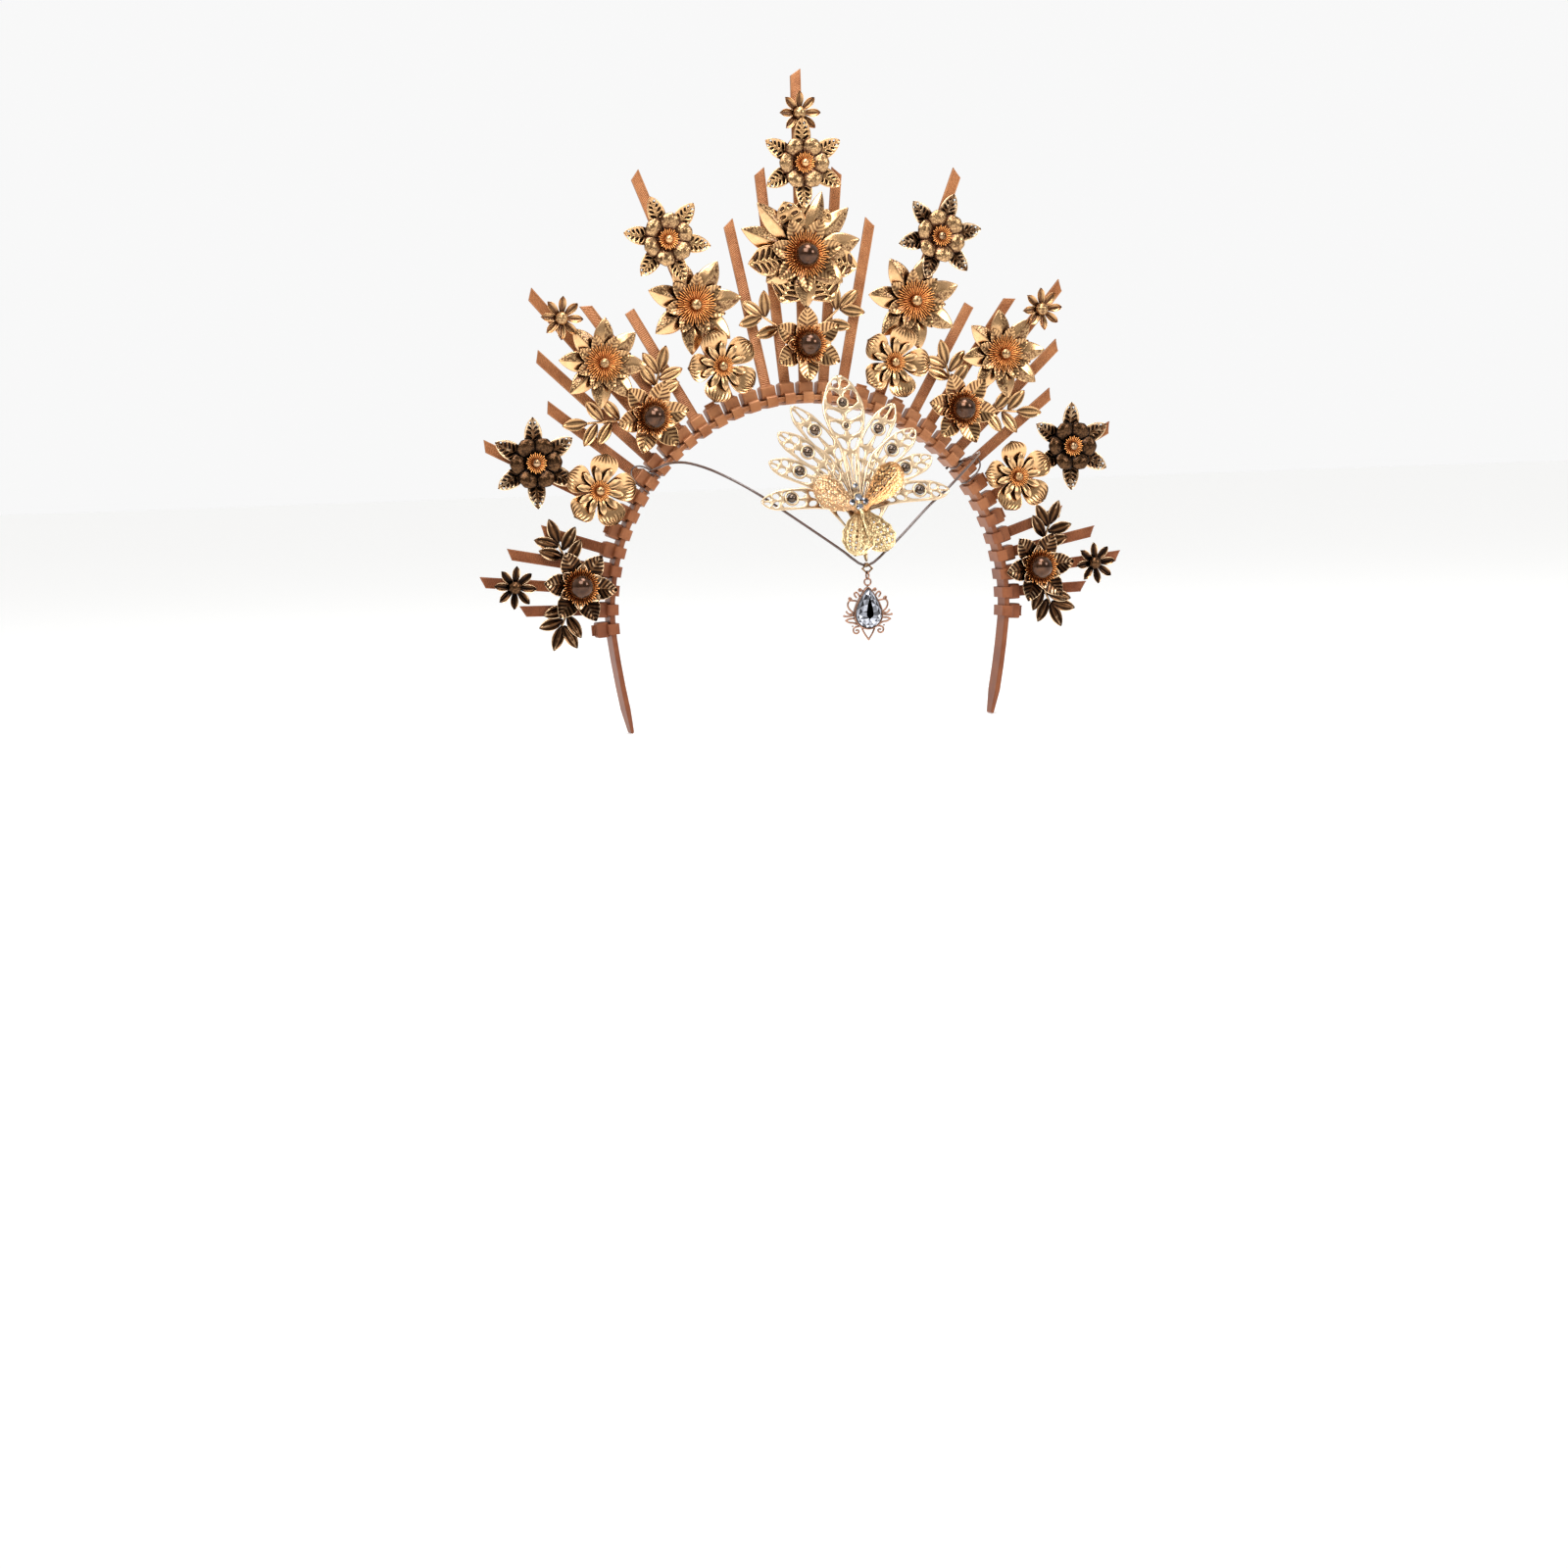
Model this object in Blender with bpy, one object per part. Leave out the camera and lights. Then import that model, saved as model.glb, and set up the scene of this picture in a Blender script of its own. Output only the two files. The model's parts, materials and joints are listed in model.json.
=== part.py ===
"""Halo crown headband: a plastic headband ringed with cable ties whose tails stand out as rays.

The crown stands in the XZ plane and faces -Y. +X is to the left when it is worn and +Z is up. The
origin is the middle of the band's inner face at the top. Lengths are in metres. Glued flowers sit
in front of the rays, and a cord across the front carries a pierced fan, a butterfly and a
pear-shaped drop.
"""
import math

import bmesh
import bpy
from mathutils import Matrix, Vector
from mathutils.geometry import interpolate_bezier

# Band and ties
CLEARANCE = 0.0003
BAND_RADIUS = 0.094
BAND_THICKNESS = 0.0024
BAND_WIDTH = 0.010
ARM_LENGTH = 0.044
ARM_STEPS = 4
ARM_BEND = math.radians(1.5)
ARM_TIP_SHARE = 0.6
PLACE_STEP = math.radians(5.2)
LAST_PLACE = 18
TIE_WIDTH = 0.0048
TIE_THICKNESS = 0.0012
TIE_HEAD_WIDTH = 0.0070
TIE_HEAD_DEPTH = 0.0066
TIE_HEAD_HEIGHT = 0.0056
TRIMMED_STUB = 0.0018
RAY_LENGTH = 0.1405
RAY_END_SLANT = 0.0032

# Flowers and leaf sprigs
DAISY_RADIUS = 0.0098
LEAFY_RADIUS = 0.0205
LILY_RADIUS = 0.0225
SUNBURST_RADIUS = 0.0205
SHELL_RADIUS = 0.0168
PEARL_FLOWER_RADIUS = 0.0170
CENTRE_FLOWER_RADIUS = 0.0280
PAD_HEIGHT = 0.0014
PAD_RADIUS = 0.0032
SPRIG_THICKNESS = 0.0008
SPRIG_LEAF_LENGTH = 0.0105
SPRIG_LEAF_WIDTH = 0.0046
SPRIG_STEM_WIDTH = 0.0014
SPRIG_LEAF_SPREAD = math.radians(52)
SPRIG_FOOT_SHARE = 0.6

# Fan
FAN_LENGTH = 0.0841
FAN_THICKNESS = 0.0008
FAN_RAIL = 0.0010
FAN_TILT = math.radians(20.8)
FAN_FOOT_RISE = 0.0050
FAN_FOOT_SETBACK = 0.0007
FAN_ROOT = 0.235
FEATHER_WIDEST = 0.70
FEATHER_SHOULDER = 0.86
FEATHER_SHOULDER_SPREAD = 0.82
RIB_SHARE = 0.7
CHEVRON_RISE = 0.03

# Butterfly
BUTTERFLY_SIZE = 0.0240
BUTTERFLY_TURN = math.radians(7)
BUTTERFLY_HEIGHT = 0.0235
WING_THICKNESS = 0.0007
WING_RAISE = math.radians(24)
WING_FOOT = 0.04
WING_STAGGER = 0.2
BODY_SIDES = 8

# Cord, bail and link
CORD_DIAMETER = 0.0012
CORD_POINTS = 77
STRETCH_STEPS = 24
BAIL_WIDTH = 0.0056
BAIL_HEIGHT = 0.0052
BAIL_BAR = 0.0008
BAIL_THICKNESS = 0.0007
BAIL_TIP_WIDTH = 0.0012
HOOK_WIDTH = 0.0016
HOOK_STEPS = 6
LINK_RADIUS = 0.0021
LINK_WIRE = 0.0008
LOOP_RADIUS = 0.0019
RING_STEPS = 12
WIRE_SIDES = 5

# Drop
STONE_WIDTH = 0.0117
STONE_HEIGHT = 0.0172
STONE_DEPTH = 0.0050
STONE_SIDES = 12
BEZEL_WALL = 0.0006
BEZEL_HEIGHT = 0.0014
BEZEL_SIDES = 16
LEDGE = 0.0010
HANG_OFFSET = 0.0006
FRAME_THICKNESS = 0.0012
PEAR_WAIST = 0.30
PEAR_SHARPNESS = 0.75
SCROLL_WIRE = 0.0009
SCROLL_SIDES = 7
SCROLL_SINK = 0.45
SCROLL_THICKNESS = 0.85
SCROLL_THINNING = 0.05

# Rays: place on the ring, free length as a share of the centre ray's, lean in degrees, slant of the end
RAYS = (
    (0, 1.000, 0.0, -1),
    (1, 0.692, 0.3, 1),
    (2, 0.546, 1.4, 1),
    (4, 0.781, 1.2, 1),
    (6, 0.397, -0.6, 0),
    (7, 0.504, -0.2, -1),
    (8, 0.649, -0.4, 1),
    (9, 0.497, 0.4, 1),
    (10, 0.371, 0.4, 1),
    (12, 0.485, 0.8, 1),
    (14, 0.214, -0.6, 1),
    (15, 0.305, 1.0, 1),
    (16, 0.381, 1.2, 1),
    (17, 0.247, 0.4, 1),
)

# Flowers: name, kind, angle from the top in degrees, share of the centre ray's free length, radius, and
# whether a high pad lifts it in front of the tie heads and its neighbours
FLOWERS = (
    ("daisy_top", "daisy", 0.0, 0.857, DAISY_RADIUS, False),
    ("leafy_top", "leafy", 0.0, 0.696, LEAFY_RADIUS, True),
    ("centre_flower", "centre_flower", 0.0, 0.4055, CENTRE_FLOWER_RADIUS, False),
    ("pearl_flower_top", "pearl_flower", 0.0, 0.1195, PEARL_FLOWER_RADIUS, True),
    ("leafy_upper", "leafy", 21.3, 0.5455, LEAFY_RADIUS, True),
    ("lily", "lily", 20.9, 0.321, LILY_RADIUS, False),
    ("shell_upper", "shell", 20.5, 0.108, SHELL_RADIUS, True),
    ("daisy_middle", "daisy", 40.8, 0.521, DAISY_RADIUS, True),
    ("sunburst", "lily", 40.4, 0.325, SUNBURST_RADIUS, False),
    ("pearl_flower_middle", "pearl_flower", 40.1, 0.0925, PEARL_FLOWER_RADIUS, True),
    ("leafy_lower", "leafy", 61.7, 0.312, LEAFY_RADIUS, False),
    ("shell_lower", "shell", 60.8, 0.0905, SHELL_RADIUS, True),
    ("daisy_lower", "daisy", 84.1, 0.272, DAISY_RADIUS, False),
    ("pearl_flower_lower", "pearl_flower", 82.9, 0.065, PEARL_FLOWER_RADIUS, True),
)

# Each kind of flower: number of petals, points for each petal, and its layers from back to front. A layer
# has the radius at the petals' tips and at the notches, the fullness of the shoulders (0 to 1), the height
# at the tips and at the notches, and whether it is turned by half a petal. Lengths are shares of the radius
LAYERS = {
    "daisy": (8, 2, (
        (1.00, 0.40, 0.00, 0.28, 0.10, False),
        (0.34, 0.34, 0.00, 0.17, 0.17, False),
        (0.27, 0.27, 0.00, 0.36, 0.36, False),
        (0.13, 0.13, 0.00, 0.45, 0.45, False),
    )),
    "leafy": (6, 4, (
        (1.00, 0.34, 0.52, 0.16, 0.06, False),
        (0.26, 0.26, 1.00, 0.12, 0.12, False),
        (0.62, 0.46, 0.95, 0.34, 0.24, True),
        (0.18, 0.18, 1.00, 0.32, 0.32, False),
    )),
    "lily": (6, 4, (
        (1.00, 0.36, 0.60, 0.15, 0.06, False),
        (0.30, 0.30, 1.00, 0.13, 0.13, False),
        (0.62, 0.36, 0.55, 0.27, 0.18, True),
        (0.20, 0.20, 1.00, 0.26, 0.26, False),
    )),
    "shell": (5, 4, (
        (1.00, 0.52, 0.92, 0.22, 0.08, False),
        (0.50, 0.34, 0.50, 0.14, 0.12, False),
        (0.46, 0.22, 0.50, 0.30, 0.20, True),
        (0.16, 0.16, 1.00, 0.30, 0.30, False),
    )),
    "pearl_flower": (6, 4, (
        (1.00, 0.50, 0.72, 0.22, 0.08, False),
        (0.40, 0.40, 1.00, 0.12, 0.12, False),
        (0.44, 0.44, 1.00, 0.30, 0.30, False),
        (0.30, 0.30, 1.00, 0.46, 0.46, False),
        (0.16, 0.16, 1.00, 0.66, 0.66, False),
    )),
    "centre_flower": (7, 4, (
        (1.00, 0.44, 0.62, 0.14, 0.05, False),
        (0.36, 0.36, 1.00, 0.11, 0.11, False),
        (0.68, 0.40, 0.66, 0.30, 0.18, True),
        (0.24, 0.24, 1.00, 0.20, 0.20, False),
        (0.19, 0.19, 1.00, 0.36, 0.36, False),
        (0.09, 0.09, 1.00, 0.47, 0.47, False),
    )),
}

# Leaf sprigs of each pearl flower: direction from its outward line in degrees, and length as a share of
# the flower's radius
SPRIGS = {
    "pearl_flower_top": ((-47, 1.94), (47, 1.94)),
    "pearl_flower_middle": ((-55, 1.94), (54, 2.41)),
    "pearl_flower_lower": ((-61, 1.94), (74, 1.82)),
}
# Side leaves of a sprig: place along the stem as a share of its length, and the side
SPRIG_LEAVES = ((0.34, 1), (0.44, -1), (0.53, 1), (0.60, -1))

# Fan feathers on one half: tip across, tip up and half width, as shares of the fan's length
FEATHERS = (
    (0.000, 1.000, 0.118),
    (0.285, 0.836, 0.066),
    (0.380, 0.689, 0.062),
    (0.452, 0.531, 0.058),
    (0.521, 0.343, 0.056),
)
# Foot of the fan below its last feather: across and up, as shares of the fan's length
FAN_FOOT_OUTLINE = ((0.200, 0.245), (0.100, 0.150), (0.035, 0.080))
# Gaps beside a feather's rib: near and far end, as shares of the feather's length
FEATHER_GAPS = ((0.34, 0.44), (0.47, 0.57), (0.60, 0.69), (0.78, 0.88))

# Wings of the butterfly: across from the body and up, as shares of its size
UPPER_WING = (
    (0.00, 0.10), (0.45, 0.62), (0.88, 0.72), (1.00, 0.55), (0.86, 0.22), (0.52, -0.06), (0.00, -0.12),
)
LOWER_WING = (
    (0.00, 0.02), (0.42, -0.06), (0.56, -0.34), (0.44, -0.66), (0.30, -0.88), (0.12, -0.62), (0.00, -0.30),
)
# Gaps in a pair of wings, in the same shares
WING_GAPS = (
    ((0.34, 0.38), (0.52, 0.56), (0.60, 0.36), (0.40, 0.22)),
    ((0.66, 0.60), (0.84, 0.62), (0.86, 0.48), (0.70, 0.40)),
    ((0.28, -0.14), (0.42, -0.18), (0.44, -0.34), (0.28, -0.36)),
)
# Sections of the body from head to tail: up, half width and height, in the same shares
BODY_SECTIONS = (
    (0.34, 0.03, 0.05), (0.26, 0.16, 0.15), (0.00, 0.17, 0.17), (-0.22, 0.07, 0.11),
    (-0.70, 0.05, 0.08), (-0.96, 0.02, 0.04),
)

# Route of the forehead cord on the +X side, from its lowest point to behind the band
CORD_ROUTE = (
    (0.0000, -0.0780, -0.0735), (0.0050, -0.0779, -0.0709), (0.0100, -0.0773, -0.0668),
    (0.0180, -0.0751, -0.0607), (0.0330, -0.0682, -0.0490), (0.0440, -0.0651, -0.0410),
    (0.0530, -0.0592, -0.0348), (0.0620, -0.0510, -0.0294), (0.0690, -0.0400, -0.0264),
    (0.0733, -0.0270, -0.0265), (0.0750, -0.0150, -0.0286), (0.07502, -0.0070, -0.02970),
    (0.07449, 0.0000, -0.03016), (0.07434, 0.0036, -0.03029), (0.07335, 0.0061, -0.03113),
    (0.07183, 0.0068, -0.03243), (0.07054, 0.0067, -0.03354),
)

# Steps of the cut stone from back to front: growth of its outline as a share of its width, and height as
# a share of its depth
STONE_STEPS = ((-0.34, -0.24), (-0.13, -0.06), (0.00, 0.06), (0.00, 0.12), (-0.20, 0.42))
# Scrolls round one half of the drop: turn from its tip in degrees, radius as a share of the stone's width
SIDE_SCROLLS = ((34, 0.085), (60, 0.130), (90, 0.190), (122, 0.150), (153, 0.120))
FOOT_SCROLL = (180, 0.180)

# Sizes that follow from those above
RING_CENTRE = Vector((0, 0, -BAND_RADIUS))
BAND_OUTER = BAND_RADIUS + BAND_THICKNESS
HEAD_TOP = BAND_OUTER + CLEARANCE + TIE_HEAD_HEIGHT
GLUE_PLANE = -TIE_THICKNESS / 2 - CLEARANCE
HIGH_PAD_HEIGHT = PAD_HEIGHT + TIE_HEAD_DEPTH / 2 + GLUE_PLANE
CORD_LOW = Vector(CORD_ROUTE[0])
FAN_FOOT = CORD_LOW + Vector((0, FAN_FOOT_SETBACK, FAN_FOOT_RISE))
FAN_SIDE = Vector((1, 0, 0))
FAN_UP = Vector((0, math.sin(FAN_TILT), math.cos(FAN_TILT)))
FAN_FRONT = FAN_SIDE.cross(FAN_UP)
BAIL_PLANE = CORD_LOW.y - CORD_DIAMETER / 2 - CLEARANCE - BAIL_THICKNESS / 2
BAIL_TOP = CORD_LOW.z + CORD_DIAMETER / 2 + CLEARANCE + BAIL_THICKNESS
BAIL_FOOT = BAIL_TOP - BAIL_HEIGHT
LINK_TOP = BAIL_FOOT + BAIL_BAR + (LINK_WIRE / 2 + CLEARANCE) * math.sqrt(2)
LINK_CENTRE = Vector((0, BAIL_PLANE, LINK_TOP - LINK_RADIUS))
PIVOT = LINK_CENTRE + Vector((0, 0, LINK_WIRE + CLEARANCE - LINK_RADIUS))
LOOP_CENTRE = PIVOT - Vector((0, 0, LOOP_RADIUS))
STONE_TOP = LOOP_CENTRE.z - LOOP_RADIUS - BEZEL_WALL - CLEARANCE


def new_material(name, colour, roughness, metallic):
    """Return a Principled material with the given look."""
    material = bpy.data.materials.new(name)
    material.use_nodes = True
    shader = material.node_tree.nodes["Principled BSDF"]
    shader.inputs["Base Color"].default_value = (*colour, 1)
    shader.inputs["Roughness"].default_value = roughness
    shader.inputs["Metallic"].default_value = metallic
    return material


def add_object(name, shape, material, matrix=None):
    """Turn a bmesh into a linked object with its material, placed by a matrix."""
    bmesh.ops.recalc_face_normals(shape, faces=shape.faces)
    mesh = bpy.data.meshes.new(name)
    shape.to_mesh(mesh)
    shape.free()
    mesh.materials.append(material)
    item = bpy.data.objects.new(name, mesh)
    bpy.context.collection.objects.link(item)
    if matrix is not None:
        item.matrix_world = matrix
    return item


def boolean(item, tool, operation):
    """Join or cut an object with a hidden tool object."""
    tool.hide_render = True
    tool.display_type = "WIRE"
    modifier = item.modifiers.new(tool.name, "BOOLEAN")
    modifier.operation = operation
    modifier.object = tool
    modifier.solver = "EXACT"
    modifier.use_self = operation == "UNION"


def add_prism(shape, outline, back, front, turn=None):
    """Extrude a flat outline between two heights, then turn it."""
    low = [shape.verts.new((x, y, back)) for x, y in outline]
    grown = bmesh.ops.extrude_face_region(shape, geom=[shape.faces.new(low)])["geom"]
    high = [item for item in grown if isinstance(item, bmesh.types.BMVert)]
    bmesh.ops.translate(shape, verts=high, vec=(0, 0, front - back))
    if turn is not None:
        bmesh.ops.transform(shape, matrix=turn, verts=low + high)


def add_skin(shape, rings, closed=False):
    """Skin equal rings, with capped ends or, when closed, joined back to the first."""
    rows = [[shape.verts.new(point) for point in ring] for ring in rings]
    spans = list(zip(rows, rows[1:]))
    if closed:
        spans.append((rows[-1], rows[0]))
    for near, far in spans:
        for i in range(len(near)):
            j = (i + 1) % len(near)
            shape.faces.new((near[i], near[j], far[j], far[i]))
    if not closed:
        shape.faces.new(rows[0])
        shape.faces.new(rows[-1])


def add_wire_ring(shape, centre, radius, axis):
    """Spin a round wire about an axis through the ring's centre."""
    out = axis.orthogonal().normalized()
    turns = [math.tau * i / WIRE_SIDES for i in range(WIRE_SIDES)]
    profile = [shape.verts.new(centre + out * (radius + math.cos(turn) * LINK_WIRE / 2)
                               + axis * math.sin(turn) * LINK_WIRE / 2) for turn in turns]
    edges = [shape.edges.new((profile[i], profile[i - 1])) for i in range(WIRE_SIDES)]
    bmesh.ops.spin(shape, geom=profile + edges, cent=centre, axis=axis, angle=math.tau,
                   steps=RING_STEPS, use_merge=True)


def mirrored_sides(in_the_middle):
    """Return the sides that a piece stands on, each with its name's ending: right is -1, left is 1."""
    return ((0, ""),) if in_the_middle else ((-1, "_right"), (1, "_left"))


def crown_matrix(angle, distance, depth=0.0):
    """Return a frame on the crown's face: x along the ring, y outwards, z to the front."""
    place = RING_CENTRE + Vector((math.sin(angle) * distance, depth, math.cos(angle) * distance))
    upright = Matrix.Translation(place) @ Matrix.Rotation(math.pi / 2, 4, "X")
    return upright @ Matrix.Rotation(-angle, 4, "Z")


def band_sections():
    """Return the band's sections: middle of the inner face, outward direction, share of the full size."""
    half = []
    corner = BAND_RADIUS / math.cos(PLACE_STEP / 2)
    for place in range(LAST_PLACE + 1):
        angle = (place + 0.5) * PLACE_STEP
        out = Vector((math.sin(angle), 0, math.cos(angle)))
        half.append((RING_CENTRE + out * corner, out, 1.0))
    point = half[-1][0]
    for step in range(ARM_STEPS):
        angle += ARM_BEND
        point = point + Vector((math.cos(angle), 0, -math.sin(angle))) * (ARM_LENGTH / ARM_STEPS)
        size = ARM_TIP_SHARE if step == ARM_STEPS - 1 else 1.0
        half.append((point, Vector((math.sin(angle), 0, math.cos(angle))), size))
    flip = Vector((-1, 1, 1))
    return [(point * flip, out * flip, size) for point, out, size in reversed(half)] + half


def add_tie(shape, tail_end, open_loop, matrix=None):
    """Add a tie in its own frame: x along the ring, y outwards from the ring's centre, z to the front.

    The strap runs round the band, the head stands on the band, and the tail leaves the head. The tie is
    the skin of a set of box cells, and an open loop leaves out the cells that the band passes through.
    """
    strap, head = TIE_WIDTH / 2, TIE_HEAD_WIDTH / 2
    inside, head_foot = BAND_RADIUS - CLEARANCE, BAND_OUTER + CLEARANCE
    reach = BAND_WIDTH / 2 + CLEARANCE
    xs = [-head, -strap, strap, head]
    ys = [inside - TIE_THICKNESS, inside, head_foot, head_foot + TIE_THICKNESS, HEAD_TOP, tail_end]
    half_depths = [TIE_THICKNESS / 2, TIE_HEAD_DEPTH / 2, reach, reach + TIE_THICKNESS]
    zs = [-depth for depth in reversed(half_depths)] + half_depths
    under_strap, band_row, strap_row, head_row, tail_row = range(5)
    first_layer, last_layer = 0, len(zs) - 2
    head_layers = range(2, 5)
    tail_layer = 3
    cells = {(1, tail_row, tail_layer)}
    for layer in range(len(zs) - 1):
        at_edge = layer in (first_layer, last_layer)
        cells.update({(1, under_strap, layer), (1, strap_row, layer)})
        if at_edge or not open_loop:
            cells.add((1, band_row, layer))
        if layer in head_layers:
            cells.update({(column, row, layer) for column in range(3) for row in (strap_row, head_row)})
    corners = {}

    def corner(*place):
        if place not in corners:
            i, j, k = place
            corners[place] = shape.verts.new((xs[i], ys[j], zs[k]))
        return corners[place]

    for cell in sorted(cells):
        for axis in range(3):
            for end in (0, 1):
                beyond = tuple(c + (2 * end - 1) * (n == axis) for n, c in enumerate(cell))
                if beyond in cells:
                    continue
                square = []
                for first, second in ((0, 0), (1, 0), (1, 1), (0, 1)):
                    step = [first, second]
                    step.insert(axis, end)
                    square.append(corner(*(c + s for c, s in zip(cell, step))))
                shape.faces.new(square)
    if matrix is not None:
        bmesh.ops.transform(shape, matrix=matrix, verts=list(corners.values()))


def join_flat_faces(shape):
    """Dissolve the edges between faces that lie in one plane."""
    bmesh.ops.recalc_face_normals(shape, faces=shape.faces)
    bmesh.ops.dissolve_limit(shape, angle_limit=math.radians(0.5), verts=shape.verts, edges=shape.edges)


def make_headband(plastic):
    """Make the band with its trimmed ties fused to it."""
    shape = bmesh.new()
    rings = []
    for point, out, size in band_sections():
        outer = point + out * BAND_THICKNESS * size
        side = Vector((0, BAND_WIDTH / 2 * size, 0))
        rings.append([point - side, point + side, outer + side, outer - side])
    add_skin(shape, rings)
    band = add_object("headband", shape, plastic)
    ties = bmesh.new()
    ray_places = {place for place, *_ in RAYS}
    for place in range(-LAST_PLACE, LAST_PLACE + 1):
        if abs(place) not in ray_places:
            add_tie(ties, HEAD_TOP + TRIMMED_STUB, False, crown_matrix(place * PLACE_STEP, 0))
    join_flat_faces(ties)
    boolean(band, add_object("trimmed_ties", ties, plastic), "UNION")


def make_rays(plastic):
    """Make each tie whose tail stands out as a ray, with its end cut at a slant."""
    for place, share, lean, slant in RAYS:
        for side, suffix in mirrored_sides(place == 0):
            turn = side or 1
            length = RAY_LENGTH * share
            end = HEAD_TOP + length
            shape = bmesh.new()
            add_tie(shape, end, True)
            for vert in shape.verts:
                if vert.co.y > end - CLEARANCE:
                    cut = 0.5 + slant * turn * vert.co.x / TIE_WIDTH if slant else 0
                    vert.co.y -= RAY_END_SLANT * cut
                    vert.co.x += math.tan(math.radians(lean)) * length * turn
            join_flat_faces(shape)
            add_object(f"ray_{place:02d}{suffix}", shape, plastic, crown_matrix(place * PLACE_STEP * turn, 0))


def petal_ring(petals, samples, layer, radius, pad):
    """Return one ring of a flower: the outline of a layer of petals."""
    tip, notch, shoulder, tip_height, notch_height, turned = layer
    points = []
    for i in range(petals * samples):
        step = (i + (samples // 2 if turned else 0)) % samples
        rise = 1 - abs(2 * step / samples - 1)
        full = shoulder if 0 < rise < 1 else rise
        distance = radius * (notch + (tip - notch) * full)
        height = pad + radius * (notch_height + (tip_height - notch_height) * rise)
        angle = math.tau * i / (petals * samples) + math.pi / 2 + math.pi / petals
        points.append(Vector((distance * math.cos(angle), distance * math.sin(angle), height)))
    return points


def add_flower(shape, kind, radius, pad):
    """Add a flower, from the glue pad at its back to the knob or pearl at its front."""
    petals, samples, layers = LAYERS[kind]
    pad_layer = (PAD_RADIUS / radius, PAD_RADIUS / radius, 1, 0, 0, False)
    rings = [petal_ring(petals, samples, pad_layer, radius, height) for height in (0, pad)]
    rings += [petal_ring(petals, samples, layer, radius, pad) for layer in layers]
    add_skin(shape, rings)


def sprig_outline(length):
    """Return the outline of a leaf sprig that grows along +Y from the origin."""
    stem, half = SPRIG_STEM_WIDTH / 2, SPRIG_LEAF_WIDTH / 2
    sides = {1: [], -1: []}
    for share, side in SPRIG_LEAVES:
        foot = Vector((side * stem, share * length))
        along = Vector((side * math.sin(SPRIG_LEAF_SPREAD), math.cos(SPRIG_LEAF_SPREAD)))
        across = Vector((along.y, -along.x)) * side * half
        middle, end = foot + along * SPRIG_LEAF_LENGTH / 2, foot + along * SPRIG_LEAF_LENGTH
        sides[side] += [foot, middle + across, end, middle - across, foot + Vector((0, stem))]
    base, widest = length - SPRIG_LEAF_LENGTH, length - SPRIG_LEAF_LENGTH / 2
    tip = [Vector((stem, base)), Vector((half, widest)), Vector((0, length)),
           Vector((-half, widest)), Vector((-stem, base))]
    start = PAD_RADIUS * SPRIG_FOOT_SHARE
    return [Vector((stem, start))] + sides[1] + tip + sides[-1][::-1] + [Vector((-stem, start))]


def make_flowers(gold):
    """Make every flower, with the leaf sprigs fused behind the pearl flowers."""
    for name, kind, angle, share, radius, high in FLOWERS:
        for side, suffix in mirrored_sides(angle == 0):
            distance = HEAD_TOP + RAY_LENGTH * share
            frame = crown_matrix(math.radians(angle) * side, distance, GLUE_PLANE)
            shape = bmesh.new()
            add_flower(shape, kind, radius, HIGH_PAD_HEIGHT if high else PAD_HEIGHT)
            flower = add_object(name + suffix, shape, gold, frame)
            if name not in SPRIGS:
                continue
            leaves = bmesh.new()
            back = CLEARANCE / 2
            for direction, length_share in SPRIGS[name]:
                turn = Matrix.Rotation(-math.radians(direction) * (side or 1), 3, "Z")
                outline = sprig_outline(radius * length_share)
                add_prism(leaves, outline, back, back + SPRIG_THICKNESS, turn)
            boolean(flower, add_object(f"{name}{suffix}_sprigs", leaves, gold, frame), "UNION")


def feather_sides(feather):
    """Return a feather's root, its rib as a vector, and the unit vector across it."""
    root = Vector((0, FAN_ROOT))
    along = Vector(feather[:2]) - root
    return root, along, Vector((along.y, -along.x)).normalized()


def fan_outline():
    """Return the fan's outline: each feather from its inner shoulder over its tip to the notch past it."""
    right = []
    for feather in FEATHERS:
        root, along, across = feather_sides(feather)
        half_width = feather[2]
        shoulder = across * half_width * FEATHER_SHOULDER_SPREAD
        points = [root + along * FEATHER_SHOULDER - shoulder, root + along,
                  root + along * FEATHER_SHOULDER + shoulder,
                  root + along * FEATHER_WIDEST + across * half_width]
        right += points[1:] if feather is FEATHERS[0] else points
    right += [Vector(point) for point in FAN_FOOT_OUTLINE]
    return right + [Vector((-point.x, point.y)) for point in reversed(right[1:])]


def gap_edge(feather, share):
    """Return how far from a feather's rib a gap may reach, one rail inside the feather's outline."""
    length = feather_sides(feather)[1].length
    widths = ((0.0, 0.0), (FEATHER_WIDEST, 1.0), (FEATHER_SHOULDER, FEATHER_SHOULDER_SPREAD), (1.0, 0.0))
    start, end = next(pair for pair in zip(widths, widths[1:]) if share <= pair[1][0])
    change = feather[2] * (end[1] - start[1])
    run = (share - start[0]) / (end[0] - start[0])
    slope = change / (length * (end[0] - start[0]))
    return feather[2] * start[1] + change * run - FAN_RAIL / FAN_LENGTH * math.hypot(1, slope)


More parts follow.
